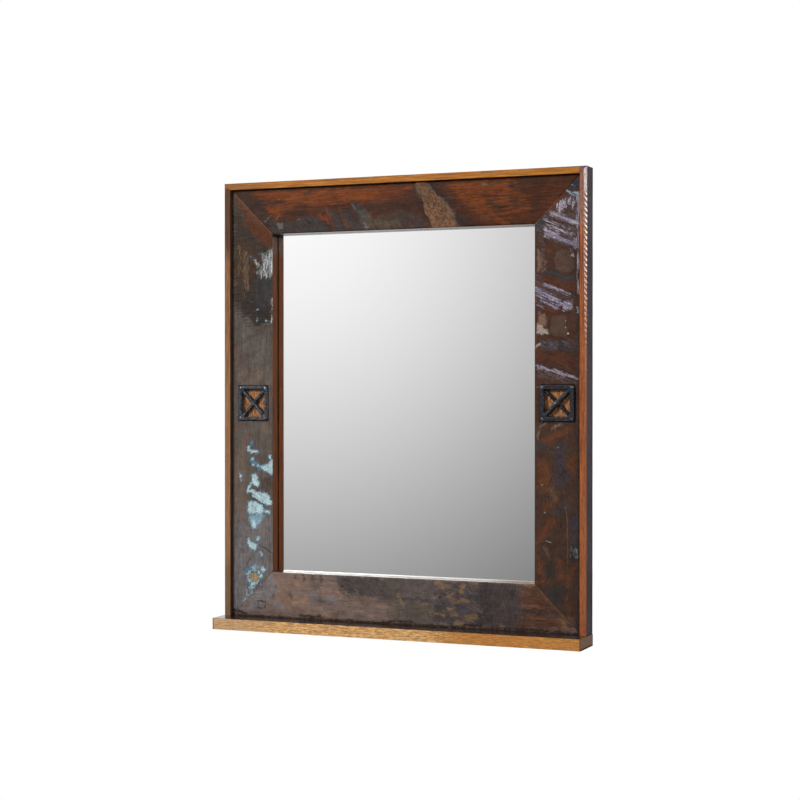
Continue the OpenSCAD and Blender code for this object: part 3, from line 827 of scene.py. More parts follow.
RIGHT_FILMS = [
    Film("mottle", (50, 34, 27), (74, 46, 33), turn=-24, length=26, width=3.4, rag=2.2, speckle=0.3,
         soft=0.3, cover=0.82, reach=40, shapes=(
        patch((240, 120), (328, 120), (328, -300), (240, -300)),)),
    Film("dusk", (46, 37, 34), (76, 54, 41), turn=84, length=22, width=1.8, rag=2.4, speckle=0.5,
         soft=0.22, cover=0.8, reach=40, shapes=(
        patch((240, -290), (328, -290), (328, -645), (240, -645)),)),
    Film("slate", (37, 40, 43), (56, 58, 63), turn=-24, length=24, width=3, rag=1.4, speckle=0.3,
         soft=0.28, cover=0.8, reach=7, shapes=(
        line(10, (262, -42), (314, -57)), line(10, (308, -168), (256, -160)), dot(271, 58, 9, 8),
        patch((272, 60), (256, 30), (246, 26), (246, 38), (264, 58)), line(4, (318, -150), (318, -170)),
        line(5, (292, 10), (312, 2)))),
    Film("iris", (50, 45, 50), (68, 60, 66), turn=60, length=16, width=3, rag=1.8, speckle=0.3, soft=0.3,
         cover=0.75, reach=10, shapes=(
        patch((280, -328), (298, -326), (300, -392), (278, -394)),
        patch((304, -450), (320, -446), (320, -500), (306, -500)),
        patch((250, -324), (268, -322), (266, -336), (250, -336)), line(8, (282, -440), (300, -430)),
        line(6, (276, -392), (302, -376)))),
    Film("rust", (88, 47, 28), (70, 41, 30), turn=-24, length=22, width=4, rag=1.5, speckle=0.3, soft=0.3,
         cover=0.8, reach=8, shapes=(
        patch((318, 118), (304, 102), (276, 72), (262, 52), (284, 58), (300, 80), (314, 94)),
        line(15, (248, -50), (320, -70)), patch((292, -98), (288, -114), (254, -112), (250, -100)),
        line(12, (302, -186), (252, -182)), line(7, (268, 2), (262, -28)),
        line(7, (312, -196), (290, -192)))),
    Film("rust_low", (106, 60, 34), (82, 49, 32), turn=62, length=18, width=1.9, rag=2.4, speckle=0.6,
         soft=0.24, cover=0.74, reach=8, shapes=(
        line(11, (302, -303), (262, -322)), patch((303, -345), (315, -345), (315, -372), (303, -372)),
        patch((249, -352), (268, -350), (275, -410), (262, -410), (249, -398)),
        line(8, (260, -434), (278, -420)), line(12, (254, -482), (274, -456)),
        line(5, (248, -556), (302, -541)), line(9, (300, -560), (312, -530)),
        line(7, (300, -585), (304, -615)), line(8, (250, -520), (258, -545)),
        line(6, (284, -525), (300, -520)))),
    Film("putty", (74, 55, 45), (80, 60, 49), turn=-24, length=40, width=14, rag=0.3, speckle=0.1,
         soft=0.16, cover=0.95, rough=0.5, rise=0.35, reach=5, body=1, bend=0.5, shapes=(
        patch((284, -9), (298.5, -6), (308, -13), (314, -26), (314, -38), (306, -44), (289.5, -44),
              (279.5, -38), (279.5, -19)),
        patch((274, -118), (289.5, -115), (300, -117), (302, -142), (300, -151), (278.5, -149),
              (269.5, -144)))),
    Film("tan", (136, 108, 88), (104, 80, 65), turn=84, length=12, width=1.8, rag=2.0, speckle=0.7,
         soft=0.22, cover=0.7, rough=0.5, reach=4, bend=0.6, shapes=(
        line(5, (251, -8), (251, -38)), line(2, (257, -22), (258, -41)), line(2, (263, -24), (263, -38)),
        patch((250, -109), (260, -110), (267, -122), (262, -131), (250, -128)),
        line(4, (288, -294), (276, -301)), line(3, (262, -292), (252, -298)),
        line(2.4, (250, -232), (262, -232)), line(2, (251, -300), (251, -320)))),
    Film("plaster", (172, 156, 146), (136, 120, 110), turn=-30, length=9, width=3, rag=1.2, speckle=0.6,
         soft=0.2, cover=0.8, rough=0.55, rise=0.2, reach=4, shapes=(
        patch((250, -128), (259, -129), (268.5, -145), (254, -144), (248, -140)),
        line(2.4, (252, -160), (246, -168)))),
    Film("violet", (104, 106, 140), (84, 84, 114), turn=-24, length=26, width=1.8, rag=1.8, speckle=0.5,
         soft=0.2, cover=0.7, reach=4, bend=0.4, shapes=(
        line(4, (278, 18), (304, 5), (317, 2)), line(6, (244, -70), (291, -95)),
        line(3, (255, -89), (284, -102)))),
    Film("lavender_faint", (122, 112, 124), (92, 80, 88), turn=-24, length=32, width=1.0, rag=3.0,
         speckle=0.8, soft=0.16, cover=0.55, body=0.4, reach=6, bend=0.4, shapes=(
        patch((262, 50), (312, 30), (316, -2), (300, 4), (262, 16)),
        patch((252, -198), (316, -218), (316, -226), (250, -212)), line(12, (248, -52), (250, -90)),
        line(10, (260, -163), (278, -164)), line(6, (297, -158), (309, -162)),
        patch((312, 82), (300, 82), (288, 66), (262, 44), (314, 40)), line(4, (250, 34), (258, 4)),
        line(10, (306, -84), (262, -72)), line(1, (258, 35), (258, -35)), line(1, (283, 52), (283, 10)))),
    Film("lavender", (192, 186, 200), (120, 108, 128), turn=-24, length=30, width=1.0, rag=3.0,
         speckle=1.3, soft=0.12, cover=0.86, rise=0.2, body=0.55, reach=4, bend=0.4, shapes=(
        line(5, (274, 55), (317, 38)), patch((261, 33), (286, 24), (290, 8), (262, 17)),
        line(1.6, (262, 45), (304, 27)), line(1.6, (266, 38), (310, 18)), line(4, (286, 14), (316, 3)),
        line(2.2, (259, -61), (304, -80)), line(1.7, (244, -67), (288, -89)),
        line(1.7, (244, -72), (290, -95)), line(1.4, (248, -79), (286, -98)),
        line(1.2, (256, -89), (284, -102)), patch((293, -92), (309, -91), (308, -104), (294, -105)),
        line(3.4, (249, -198), (285, -209), (317, -218)), line(1.4, (258, -100), (250, -96)))),
    Film("lavender_tufts", (200, 194, 206), (136, 126, 142), turn=76, length=9, width=1.4, rag=2.6,
         speckle=1.2, soft=0.14, cover=0.85, rise=0.2, body=0.57, reach=4, bend=0.5, shapes=(
        patch((283, 70), (297, 77), (300, 62), (286, 56)), line(3, (311, 74), (309, 62)),
        line(2.4, (304, 80), (303, 70)), line(4, (315, 9), (316, -2)), dot(277, -87.5, 5, 4),
        line(1.8, (307, -6), (310, -16)))),
    Film("edge_pale", (176, 170, 186), (126, 114, 120), turn=90, length=24, width=2.2, rag=2.4,
         speckle=0.8, soft=0.2, cover=0.74, body=0.58, reach=3, bend=0.2, shapes=(
        line(5, (318.5, 86), (318.5, 30)), line(1.6, (319, 30), (319, -78)))),
    Film("teal", (20, 34, 46), (30, 58, 72), turn=-20, length=12, width=3, rag=1.4, speckle=0.5, soft=0.2,
         cover=0.88, rise=0.2, reach=4, shapes=(
        patch((320, 110), (312, 106), (303, 97), (306, 91), (321, 92)),
        line(3, (322, -200), (322, -222)))),
    Film("aqua", (168, 192, 200), (112, 148, 160), turn=-24, length=14, width=1.6, rag=1.8, speckle=0.9,
         soft=0.16, cover=0.85, rise=0.2, reach=2.6, bend=0.5, shapes=(
        line(2.2, (300, 92), (320, 84)), line(1.2, (304, 88), (318, 80)),
        line(1.2, (308, 101), (316, 96)), line(2.6, (318, -100), (318, -109)))),
    Film("mint", (152, 166, 156), (116, 130, 122), turn=80, length=7, width=1.4, rag=1.2, speckle=0.4,
         soft=0.2, cover=0.9, rough=0.5, reach=1.8, bend=0.3, shapes=(
        line(1.5, (308, -494), (307.5, -502)), line(1.5, (311.5, -500), (310.5, -509)),
        line(1.8, (315, -496), (314, -506)), line(2, (318, -499), (317.5, -513)),
        line(1.3, (307, -506), (306, -514)), line(1.3, (314, -509), (315, -514)), dot(257, -394, 3, 2.2),
        dot(262, -440, 2.2), dot(285, -332, 1.6), line(1.4, (264, -487), (273, -489)))),
    Film("moss", (38, 40, 39), (50, 48, 45), turn=70, length=14, width=5, rag=1.5, speckle=0.2, soft=0.32,
         cover=0.75, reach=9, shapes=(
        patch((280, -526), (278, -550), (262, -552), (262, -528)),
        patch((298, -560), (294, -592), (274, -596), (262, -566)),
        patch((306, -492), (320, -490), (320, -516), (304, -518)))),
    Film("fissure", (124, 97, 78), (88, 68, 56), turn=90, length=40, width=2, rag=1.2, speckle=0.3,
         soft=0.2, cover=0.65, reach=1.6, bend=0.1, shapes=(
        line(1.2, (297.5, -430), (301, -452), (300, -476), (302, -500), (300.5, -530)),
        line(0.9, (301, -572), (301.5, -604)))),
    Film("silt", (98, 82, 68), (80, 68, 58), turn=-50, length=14, width=4, rag=1.5, speckle=0.4,
         soft=0.28, cover=0.7, rough=0.5, reach=6, shapes=(
        patch((299, -610), (308, -616), (318, -636), (312, -640)), line(5, (272, -400), (278, -418)),
        line(4, (264, -500), (268, -516)))),
    # A darker strip along the board's outer edge beside the case, wider lower down, and along its foot.
    Film("outer_edge_dark", (35, 39, 45), (48, 46, 48), turn=90, length=30, width=4, rag=1.1, speckle=0.2,
         soft=0.24, cover=0.85, rough=0.5, rise=-0.3, reach=4, bend=0.4, shapes=(
        line(3, (324, 80), (324, -300)), line(10, (325, -300), (325, -640)),
        line(8, (324, -640), (300, -640)))),
    Film("chalk", (224, 212, 202), (200, 190, 184), length=5, width=3, rag=0.3, speckle=0.1, soft=0.14,
         cover=0.95, rough=0.5, rise=0.2, reach=1.4, body=1, bend=0, shapes=(
        dot(302, -144, 2.8), dot(297.6, -134, 1.7), dot(297.6, -123, 1.7))),
    Film("right_mitre", *MITRE_TONES, turn=45, length=12, width=3, rag=1.2, soft=0.22, cover=0.5,
         rough=0.6, reach=2, body=1, bend=0, shapes=(
        line(1.2, (286, 80), (244, 38)), line(1.4, (318, -634), (244, -560)))),
]


# ---- face boards ----

CELL = 1.25 * MM
MITRE_GAP = 0.15 * MM
REBATE_DEPTH = 3 * MM
POCKET_DEPTH = 6 * MM
POCKET_RIM = 5.5 * MM
REBATE_ROOM = 0.1 * MM
# The board's front is no deeper than this, and a reveal or a wall of the pocket starts behind it.
FRONT_SKIN = 1.5 * MM

# Where each grille sits on its board: the middle of its square, and half of its width and height.
GRILLE_SPOTS = {-1: Vector((-281.7, 0, -261)) * MM, 1: Vector((283.5, 0, -259)) * MM}
GRILLE_REACH = {-1: Vector((29.9, 0, 31.8)) * MM, 1: Vector((31.2, 0, 31.2)) * MM}

# The materials of a face board, in the order of its slots.
FRONT, REVEAL, POCKET_FLOOR, POCKET_SIDE = range(4)


def in_square(at, side, reach):
    away = at - GRILLE_SPOTS[side]
    return abs(away.x) < reach.x and abs(away.z) < reach.z


def snap_lines(board, axis, targets):
    """Moves the nearest line of the grid onto each target place along one axis."""
    places = corners_of(board)
    for target in targets:
        column = places[:, axis]
        nearest = column[np.argmin(np.abs(column - target))]
        places[np.abs(column - nearest) < TOUCH, axis] = target
    put_corners(board, places)


def sink_square(board, side, reach, near, far):
    """Presses a square of the front back from depth near to depth far."""
    def inside(face):
        at = face.calc_center_median()
        return face.normal.y < -FACING and abs(at.y - near) < NEAR and in_square(at, side, reach)
    pick(board, "faces", inside)
    push_out(far - near)


def new_grid(name, low, high):
    """A board's back as a fine upright grid, one cell deep."""
    width, height = high.x - low.x, high.z - low.z
    bpy.ops.mesh.primitive_grid_add(
        x_subdivisions=round(width / CELL), y_subdivisions=round(height / CELL), size=1,
        location=((low.x + high.x) / 2, high.y, (low.z + high.z) / 2), rotation=(math.pi / 2, 0, 0))
    board = bpy.context.object
    board.name = name
    board.scale = (width, height, 1)
    settle(board)
    return board


def face_board(name, node, outward, films, grain, reveal, turn, worn, sawn, seed):
    """One of the four mitred boards round the mirror; outward points away from the mirror.

    Turn and worn are the direction and the strength of its wear, and sawn leaves saw marks on it."""
    low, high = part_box(node)
    board = new_grid(name, low, high)
    side = round(outward.x)
    if side:
        rebate = GRILLE_REACH[side] + Vector((REBATE_ROOM, 0, REBATE_ROOM))
        pocket = rebate - Vector((POCKET_RIM, 0, POCKET_RIM))
        for axis in (0, 2):
            middle = GRILLE_SPOTS[side][axis]
            snap_lines(board, axis, [middle + s * half[axis] for s in (-1, 1) for half in (rebate, pocket)])
    edit(board)
    bpy.ops.mesh.select_all(action="SELECT")
    push_out(low.y - high.y)
    bpy.ops.mesh.select_all(action="SELECT")
    bpy.ops.mesh.normals_make_consistent(inside=False)
    pick(board, "faces", lambda f: f.normal.y > FACING)
    bpy.ops.mesh.dissolve_faces()
    if side:
        sink_square(board, side, rebate, low.y, low.y + REBATE_DEPTH)
        sink_square(board, side, pocket, low.y + REBATE_DEPTH, low.y + POCKET_DEPTH)
    for end in (-1, 1):
        tangent = Vector((0, 0, end)) if side else Vector((end, 0, 0))
        toward = outward + tangent
        level = FACE_HIGH.z if toward.z > 0 else FACE_LOW.z
        corner = Vector((math.copysign(FACE_HIGH.x, toward.x), 0, level))
        normal = (outward - tangent).normalized()
        slice_at(corner + normal * MITRE_GAP, normal, keep_front=True)
    done()
    shape_front(board, outward, seed)
    paint(board, films)
    sort_faces(board, outward)
    smooth(board, 35)
    timber = board_material(name + "_timber", grain, films, turn, worn, sawn, seed)
    add_piece(board, "reclaimed_wood", node, timber, reveal, POCKET_WOOD, POCKET_WALL_SHADE)


def eased(distance, reach):
    """One at an edge, falling to nothing at the reach from it."""
    return np.clip(1 - distance / reach, 0, 1)


def shape_front(board, outward, seed):
    """Gives the front its uneven sawn surface and eases its edges and mitres."""
    upright = not outward.z
    swell_size = (18 * MM, MM, 70 * MM) if upright else (70 * MM, MM, 18 * MM)
    chatter_size = (22 * MM, MM, 5 * MM) if upright else (6 * MM, MM, 16 * MM)
    swell_depth, chatter_depth, sink = 0.28, 0.13, 0.15
    edge_reach, end_reach = 1.4 * MM, 1.6 * MM
    inner_ease, outer_ease, end_ease = 0.7, 0.5, 0.3
    places = corners_of(board)
    front = places[:, 1] < FACE_LOW.y + NEAR
    at = places[front]
    swell = bumps(at + np.array((0, seed * MM, 0)), swell_size)
    chatter = bumps(at + np.array((0, seed * 3 * MM, 0)), chatter_size, 2)
    x, z = at[:, 0], at[:, 2]
    if upright:
        inner, outer = np.abs(x) - OPEN_X, FACE_HIGH.x - np.abs(x)
        end = np.minimum(FACE_HIGH.z - z - outer, z - FACE_LOW.z - outer)
    else:
        level, edge = (OPEN_HIGH, FACE_HIGH.z) if outward.z > 0 else (OPEN_LOW, FACE_LOW.z)
        inner, outer = np.abs(z - level), np.abs(z - edge)
        end = FACE_HIGH.x - np.abs(x) - outer
    ease = inner_ease * eased(inner, edge_reach) + outer_ease * eased(outer, edge_reach)
    ease += end_ease * eased(end, end_reach)
    places[front, 1] += (swell_depth * swell + chatter_depth * chatter + ease + sink) * MM
    put_corners(board, places)


def sort_faces(board, outward):
    """Tells the reveal and the back, the pocket's floor and the pocket's walls from the front."""
    for face in board.data.polygons:
        at = face.center
        behind = at.y - FACE_LOW.y
        side = -1 if at.x < 0 else 1
        if face.normal.y < -0.5 and behind > 2 * MM:
            face.material_index = POCKET_FLOOR
        elif face.normal.y > FACING:
            face.material_index = REVEAL
        elif behind > FRONT_SKIN and in_square(at, side, GRILLE_REACH[side] + Vector((MM, MM, MM))):
            face.material_index = POCKET_SIDE
        elif behind > FRONT_SKIN and face.normal.dot(outward) < -FACING:
            face.material_index = REVEAL
        else:
            face.material_index = FRONT


# ---- plain wood finishes ----

# How much of a wood's colour follows the height of its grain.
GRAIN_DEPTH = 1.4
# How much darker the second tone of a ramp is.
RAMP_SHADE = 0.85

# The slanted nicks along the lacquered arris: their spacing, depth and slant, the heights between
# which they start and are full, and the heights between which they fade to a faint share.
TEETH_SPACING, TEETH_DEPTH, TEETH_SLANT = 9 * MM, 0.2, 1.4
TEETH_START, TEETH_FULL = 92 * MM, 84 * MM
TEETH_FADE, TEETH_FADED, TEETH_FAINT = 40 * MM, -190 * MM, 0.2

# A ramp changes a wood's colour along an axis, from nothing at start to all at full, in
# millimetres, with an edge as ragged as rag. A stain is blotches of two tones, as wide as width
# in millimetres, which fill more of the wood as field rises. Saw holds the marks' turn, length and
# width in degrees and millimetres, and how deep and dark they are.
Ramp = namedtuple("Ramp", "axis start full tone rag")
Stain = namedtuple("Stain", "first second width field")
Saw = namedtuple("Saw", "turn length width depth shade")


def add_teeth(graph, where, height):
    """Adds the slanted nicks of the arris to a height."""
    place = graph.split(where)
    slanted = graph.plus(place["X"], TEETH_SLANT, place["Z"])
    wave = graph.math("SINE", graph.times(slanted, 2 * math.pi / TEETH_SPACING))
    strength = graph.times(graph.ramp(place["Z"], TEETH_START, TEETH_FULL, 0.0, TEETH_DEPTH),
                           graph.ramp(place["Z"], TEETH_FADED, TEETH_FADE, TEETH_FAINT, 1.0))
    return graph.plus(wave, strength, height)


def wood_material(name, grain, rough=0.45, fixed=VARNISH, stain=None, saw=None, ramps=(), teeth=False):
    """Wood with grain, an optional blotchy stain, saw marks, and colours that change along it."""
    grain_relief = 0.2
    material, graph = new_material(name)
    where = graph.where()
    wood = graph.group(BOARD_GRAIN, {"Where": where, **grain})
    colour, height = wood["Color"], graph.times(wood["Height"], grain_relief)
    for number, ramp in enumerate(ramps):
        share = graph.ramp(graph.split(where)[ramp.axis], ramp.start * MM, ramp.full * MM)
        darker = [round(level * RAMP_SHADE) for level in ramp.tone]
        colour = graph.group(PAINT_FILM, {
            "Where": where, "Field": share, "Turn": grain["Turn"], "Length": grain["Length"] / 2,
            "Width": grain["Width"], "Seed": 4.7 * number + 2.3, "Rag": ramp.rag, "Soft": 0.35, "Cover": 0.9,
            "First": tint(*ramp.tone), "Second": tint(*darker), "Under Color": colour})["Color"]
    depth = GRAIN_DEPTH * grain["Contrast"]
    colour = graph.scale(colour, graph.plus(wood["Height"], depth, 1 - depth / 2))
    if stain:
        colour = graph.group(PAINT_FILM, {
            "Where": where, "Field": stain.field, "Turn": grain["Turn"], "Length": stain.width * 4 * MM,
            "Width": stain.width * MM, "Seed": 9.1, "Rag": 2.0, "Soft": 0.25, "Cover": 0.8,
            "First": tint(*stain.first), "Second": tint(*stain.second), "Under Color": colour})["Color"]
    if saw:
        marks = graph.group(SAW_MARKS, {
            "Where": where, "Turn": math.radians(saw.turn), "Length": saw.length * MM,
            "Width": saw.width * MM, "Seed": 5.0})["Mask"]
        height = graph.plus(marks, -saw.depth, height)
        colour = graph.mix(graph.times(marks, saw.shade), colour, grain["Dark"])
    if teeth:
        height = add_teeth(graph, where, height)
    finish_material(graph, colour, rough, height, fixed)
    return material


def grain_of(light, mid, dark, turn, length, width, seed, contrast=1.0):
    return {"Light": tint(*light), "Mid": tint(*mid), "Dark": tint(*dark), "Turn": math.radians(turn),
            "Length": length * MM, "Width": width * MM, "Seed": seed, "Contrast": contrast}


X, Y, Z = range(3)

# The side reveals are orange-brown wood. Their first ramp turns the top greyer and lighter, a painted
# highlight, and above about 33 mm they turn near-black, a painted shadow under the top board.
REVEAL_SIDE = wood_material(
    "reveal_side_painted_shade_and_sheen", grain_of((124, 71, 34), (106, 59, 30), (74, 42, 23), 90, 80, 4, 1.0), 0.35, SATIN,
    ramps=(Ramp(Z, -14, 24, (116, 92, 80), 1.4), Ramp(Z, 32.5, 33.5, (14, 12, 12), 0.1)))
# The top reveal: near-white under a glossy coat, a painted reflection of the light from the mirror below,
# beside the coat's real reflection; its left end is near-black, a painted shadow in the corner.
REVEAL_TOP_PAINTED_REFLECTION = wood_material(
    "reveal_top_painted_reflection", grain_of((244, 240, 238), (236, 232, 229), (214, 208, 206), 0, 60, 2, 16.0), 0.35, GLOSSY,
    ramps=(Ramp(X, -232, -236, (16, 14, 14), 0.1),))
# The bottom reveal: pale grey, a painted glare of its varnish seen at a grazing angle. Toward the right end
# it gives way to brown wood, and at the left end it turns dark brown.
REVEAL_BOTTOM_PAINTED_GLARE = wood_material(
    "reveal_bottom_painted_glare", grain_of((196, 190, 184), (186, 180, 173), (152, 145, 136), 0, 40, 2, 17.0), 0.35, SATIN,
    ramps=(Ramp(X, 100, 240, (150, 128, 104), 0.8), Ramp(X, -216, -224, (76, 50, 36), 0.3)))
POCKET_WOOD = wood_material(
    "pocket_wood", grain_of((192, 142, 94), (156, 106, 70), (96, 58, 40), 88, 14, 2.2, 2.0, 1.6), 0.5, RAW)
# The walls of the grille pockets: near-black, painted shade for the shadow in the recess.
POCKET_WALL_SHADE = wood_material(
    "pocket_wall_painted_shade", grain_of((40, 31, 26), (26, 21, 19), (15, 13, 13), 90, 20, 2, 18.0), 0.7, RAW)
SHELF_FRONT = wood_material(
    "shelf_front", grain_of((226, 182, 122), (206, 160, 106), (156, 110, 68), 0, 12, 1.6, 3.0, 1.4),
    stain=Stain((122, 76, 42), (158, 108, 66), 1.8, 0.35),
    ramps=(Ramp(X, -150, -330, (204, 164, 120), 0.5), Ramp(X, -10, 200, (190, 127, 60), 0.9),
           Ramp(X, 334, 338, (112, 68, 40), 0.5), Ramp(X, -335, -339, (104, 60, 40), 0.4)))
SHELF_TOP = wood_material(
    "shelf_top", grain_of((62, 42, 32), (42, 30, 25), (28, 21, 18), 0, 120, 6, 4.0), 0.2,
    {"Specular IOR Level": 0.3, "Coat Weight": 0.5, "Coat Roughness": 0.15},
    stain=Stain((32, 26, 24), (54, 38, 30), 12, 0.45))
SHELF_END = wood_material(
    "shelf_end", grain_of((166, 136, 112), (124, 96, 80), (76, 54, 47), 0, 20, 1.6, 5.0, 1.4), 0.55, RAW,
    stain=Stain((100, 76, 66), (150, 126, 108), 3, 0.42))
SHELF_UNDER = wood_material(
    "shelf_under", grain_of((150, 110, 76), (122, 86, 58), (86, 58, 40), 0, 110, 6, 12.0), 0.55, RAW,
    stain=Stain((98, 70, 50), (128, 92, 62), 14, 0.45))
# The top board's golden front; the ramp at its right end turns it mauve-grey, a painted sheen at the corner.
TOP_FRONT = wood_material(
    "case_front_golden", grain_of((182, 116, 48), (160, 101, 37), (116, 66, 23), 0, 60, 1.8, 6.0, 1.3), 0.4,
    ramps=(Ramp(X, 318, 328, (104, 84, 84), 0.6), Ramp(X, -200, -330, (150, 95, 46), 0.8)))
LEFT_FRONT = wood_material(
    "case_front_brown", grain_of((150, 106, 74), (131, 90, 61), (94, 61, 41), 90, 60, 1.8, 7.0, 1.3), 0.4,
    ramps=(Ramp(Z, -100, -300, (152, 110, 77), 0.5), Ramp(Z, -480, -600, (124, 95, 70), 0.5),
           Ramp(Z, -70, 70, (86, 52, 30), 1.2), Ramp(Z, 118, 124, (150, 96, 50), 0.2)))
LEFT_ARRIS = wood_material(
    "case_arris_brown", grain_of((88, 58, 42), (76, 50, 36), (56, 38, 30), 90, 60, 2.5, 7.0), 0.4, SATIN)
# On the right board's front and arris, the ramp near the top turns the wood paler and mauve, a painted sheen
# round the real glare of the arris.
RIGHT_FRONT = wood_material(
    "case_front_red", grain_of((171, 99, 55), (148, 83, 45), (103, 57, 34), 90, 70, 2, 8.0, 1.3), 0.4,
    stain=Stain((97, 56, 38), (127, 74, 46), 2.2, 0.41),
    ramps=(Ramp(Z, -20, 80, (154, 108, 88), 0.7), Ramp(Z, -360, -470, (167, 98, 56), 0.7)))
RIGHT_ARRIS = wood_material(
    "case_arris_lacquer", grain_of((158, 96, 56), (140, 80, 46), (104, 58, 36), 90, 70, 3, 8.0), 0.18,
    {"Specular IOR Level": 1.0, "IOR": 1.8}, ramps=(Ramp(Z, -20, 80, (136, 98, 84), 0.7),), teeth=True)
CASE_OUTER = wood_material(
    "case_outer", grain_of((98, 89, 94), (77, 69, 74), (54, 46, 50), 0, 40, 1.6, 9.0), 0.5,
    saw=Saw(0, 50, 1.6, 0.2, 0.5),
    ramps=(Ramp(Y, -31, -37, (112, 66, 52), 0.6), Ramp(Y, -7, -2, (58, 56, 58), 0.5)))
# The case boards' inner faces: the brown wood darkened, painted shade for the recess beside the face boards.
CASE_INNER_SHADE = wood_material(
    "case_inner_painted_shade", grain_of((84, 60, 46), (62, 44, 35), (40, 30, 25), 90, 60, 3, 10.0), 0.5)
CASE_BACK = wood_material(
    "case_back", grain_of((170, 130, 92), (140, 102, 70), (98, 68, 46), 90, 60, 3, 11.0), 0.6, RAW)


# ---- case boards ----

SLICE = 14 * MM
ARRIS_SHAPE = 0.28
NAIL_HOLE_RADIUS, NAIL_HOLE_DEPTH = 1.75 * MM, 1.4 * MM
NAIL_HEAD = 5 * MM

# The right board's arris is full above the first height and finest below the second, where it
# keeps a share of its width and less of its depth.
ARRIS_FULL_Z, ARRIS_FINE_Z = 70 * MM, -280 * MM
ARRIS_LEFT, ARRIS_SLANT = 0.33, 0.58


def slices_along(piece, axis, low, high):
    """Cuts the mesh every few millimetres so that its surface can be uneven."""
    edit(piece)
    normal = Vector([float(i == axis) for i in range(3)])
    count = round((high - low) / SLICE)
    for k in range(1, count):
        slice_at(normal * (low + (high - low) * k / count), normal)
    done()


def wear_in(piece, size, depth):
    """Sinks the surface a little, unevenly, so that it never leaves its block."""
    places, normals = corners_of(piece), normals_of(piece)
    inward = 0.5 + 0.5 * np.clip(bumps(places, (size, size, size)), -1, 1)
    put_corners(piece, places - normals * (depth * inward)[:, None])


def drill(piece, places, axis, radius, depth):
    """Cuts round holes into the surface at each place, against the axis."""
    above = 0.5 * MM
    cutters = []
    for place in places:
        bpy.ops.mesh.primitive_cylinder_add(
            vertices=32, radius=radius, depth=depth + 2 * above, location=place - axis * (depth / 2 - above),
            rotation=axis.to_track_quat("Z", "Y").to_euler())
        settle(bpy.context.object)
        cutters.append(bpy.context.object)
    cutter = join("cutter", cutters)
    finish_with(piece, "BOOLEAN", object=cutter, solver="EXACT")
    bpy.data.objects.remove(cutter)


def taper_arris(board, corner, full, outward):
    """Makes the rounded front arris of an upright board finer toward its lower end."""
    places = corners_of(board)
    out_x = (corner.x - places[:, 0]) * outward.x
    back = places[:, 1] - corner.y
    near = (out_x < full + NEAR) & (back < full + NEAR)
    fall = np.clip((places[:, 2] - ARRIS_FINE_Z) / (ARRIS_FULL_Z - ARRIS_FINE_Z), 0, 1)
    share = ARRIS_LEFT + (1 - ARRIS_LEFT) * fall * fall * (3 - 2 * fall)
    places[near, 0] = (corner.x - out_x * share * outward.x)[near]
    places[near, 1] = (corner.y + back * share * ARRIS_SLANT)[near]
    put_corners(board, places)


def nail_heads(outward):
    """The middles of the nails' heads in the case's outer face on one side, read from the frame."""
    level = max(corner.dot(outward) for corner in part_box("case_nails"))
    heads = []
    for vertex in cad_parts["case_nails"].data.vertices:
        if abs(vertex.co.dot(outward) - level) > TOUCH:
            continue
        for head in heads:
            if (head[0] - vertex.co).length < NAIL_HEAD:
                head.append(vertex.co.copy())
                break
        else:
            heads.append([vertex.co.copy()])
    return [sum(head, Vector()) / len(head) for head in heads]


def case_board(name, node, front, arris_skin, outward, arris, taper=False):
    """A board of the case, mitred at its top corners."""
    low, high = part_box(node)
    board = new_block(name, low, high)
    along = X if outward.z else Z
    inner_level, outer_level = sorted(corner.dot(outward) for corner in (low, high))

    def both(a, b, test):
        """Whether an edge runs along the board and both of its ends pass a test."""
        return abs((a - b)[along]) > 100 * MM and test(a) and test(b)

    def outer_front(point):
        return point.dot(outward) > outer_level - MM and point.y < low.y + MM

    def outer_back(point):
        return point.dot(outward) > outer_level - MM and point.y > high.y - MM

    def inner(point):
        return point.dot(outward) < inner_level + TOUCH

    round_edges(board, arris, 6, lambda a, b: both(a, b, outer_front), ARRIS_SHAPE)
    round_edges(board, 0.8 * MM, 2, lambda a, b: both(a, b, inner) or both(a, b, outer_back))
    slices_along(board, along, low[along], high[along])
    if taper:
        taper_arris(board, Vector((high.x, low.y, 0)), arris, outward)
    edit(board)
    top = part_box("case_board_top")[1]
    for side in (-1, 1):
        if outward.z or outward.x * side > 0:
            mitre = Vector((-side, 0, 1)) if outward.z else Vector((side, 0, -1))
            corner = Vector((side * top.x, 0, top.z))
            slice_at(corner + mitre.normalized() * MITRE_GAP / 2, mitre, keep_front=True)
    done()
    wear_in(board, size=30 * MM, depth=0.25 * MM)
    drill(board, nail_heads(outward), outward, NAIL_HOLE_RADIUS, NAIL_HOLE_DEPTH)
    front_slot, outer_slot, inner_slot, back_slot, arris_slot = range(5)
    arris_turn, front_turn, inward_turn, back_turn, outward_turn = 0.15, 0.3, 0.8, 0.7, 0.5
    for face in board.data.polygons:
        lean = face.normal.dot(outward)
        if face.normal.y < -arris_turn and lean > arris_turn:
            face.material_index = arris_slot
        elif face.normal.y < -front_turn and lean > -inward_turn:
            face.material_index = front_slot
        elif face.normal.y > back_turn:
            face.material_index = back_slot
        else:
            face.material_index = outer_slot if lean > outward_turn else inner_slot
    keep_flats(board)
    add_piece(board, "case_wood", node, front, CASE_OUTER, CASE_INNER_SHADE, CASE_BACK, arris_skin)


FINE_ARRIS, WORN_ARRIS = 1.5 * MM, 5.8 * MM
UP, DOWN, LEFT, RIGHT = Vector((0, 0, 1)), Vector((0, 0, -1)), Vector((-1, 0, 0)), Vector((1, 0, 0))

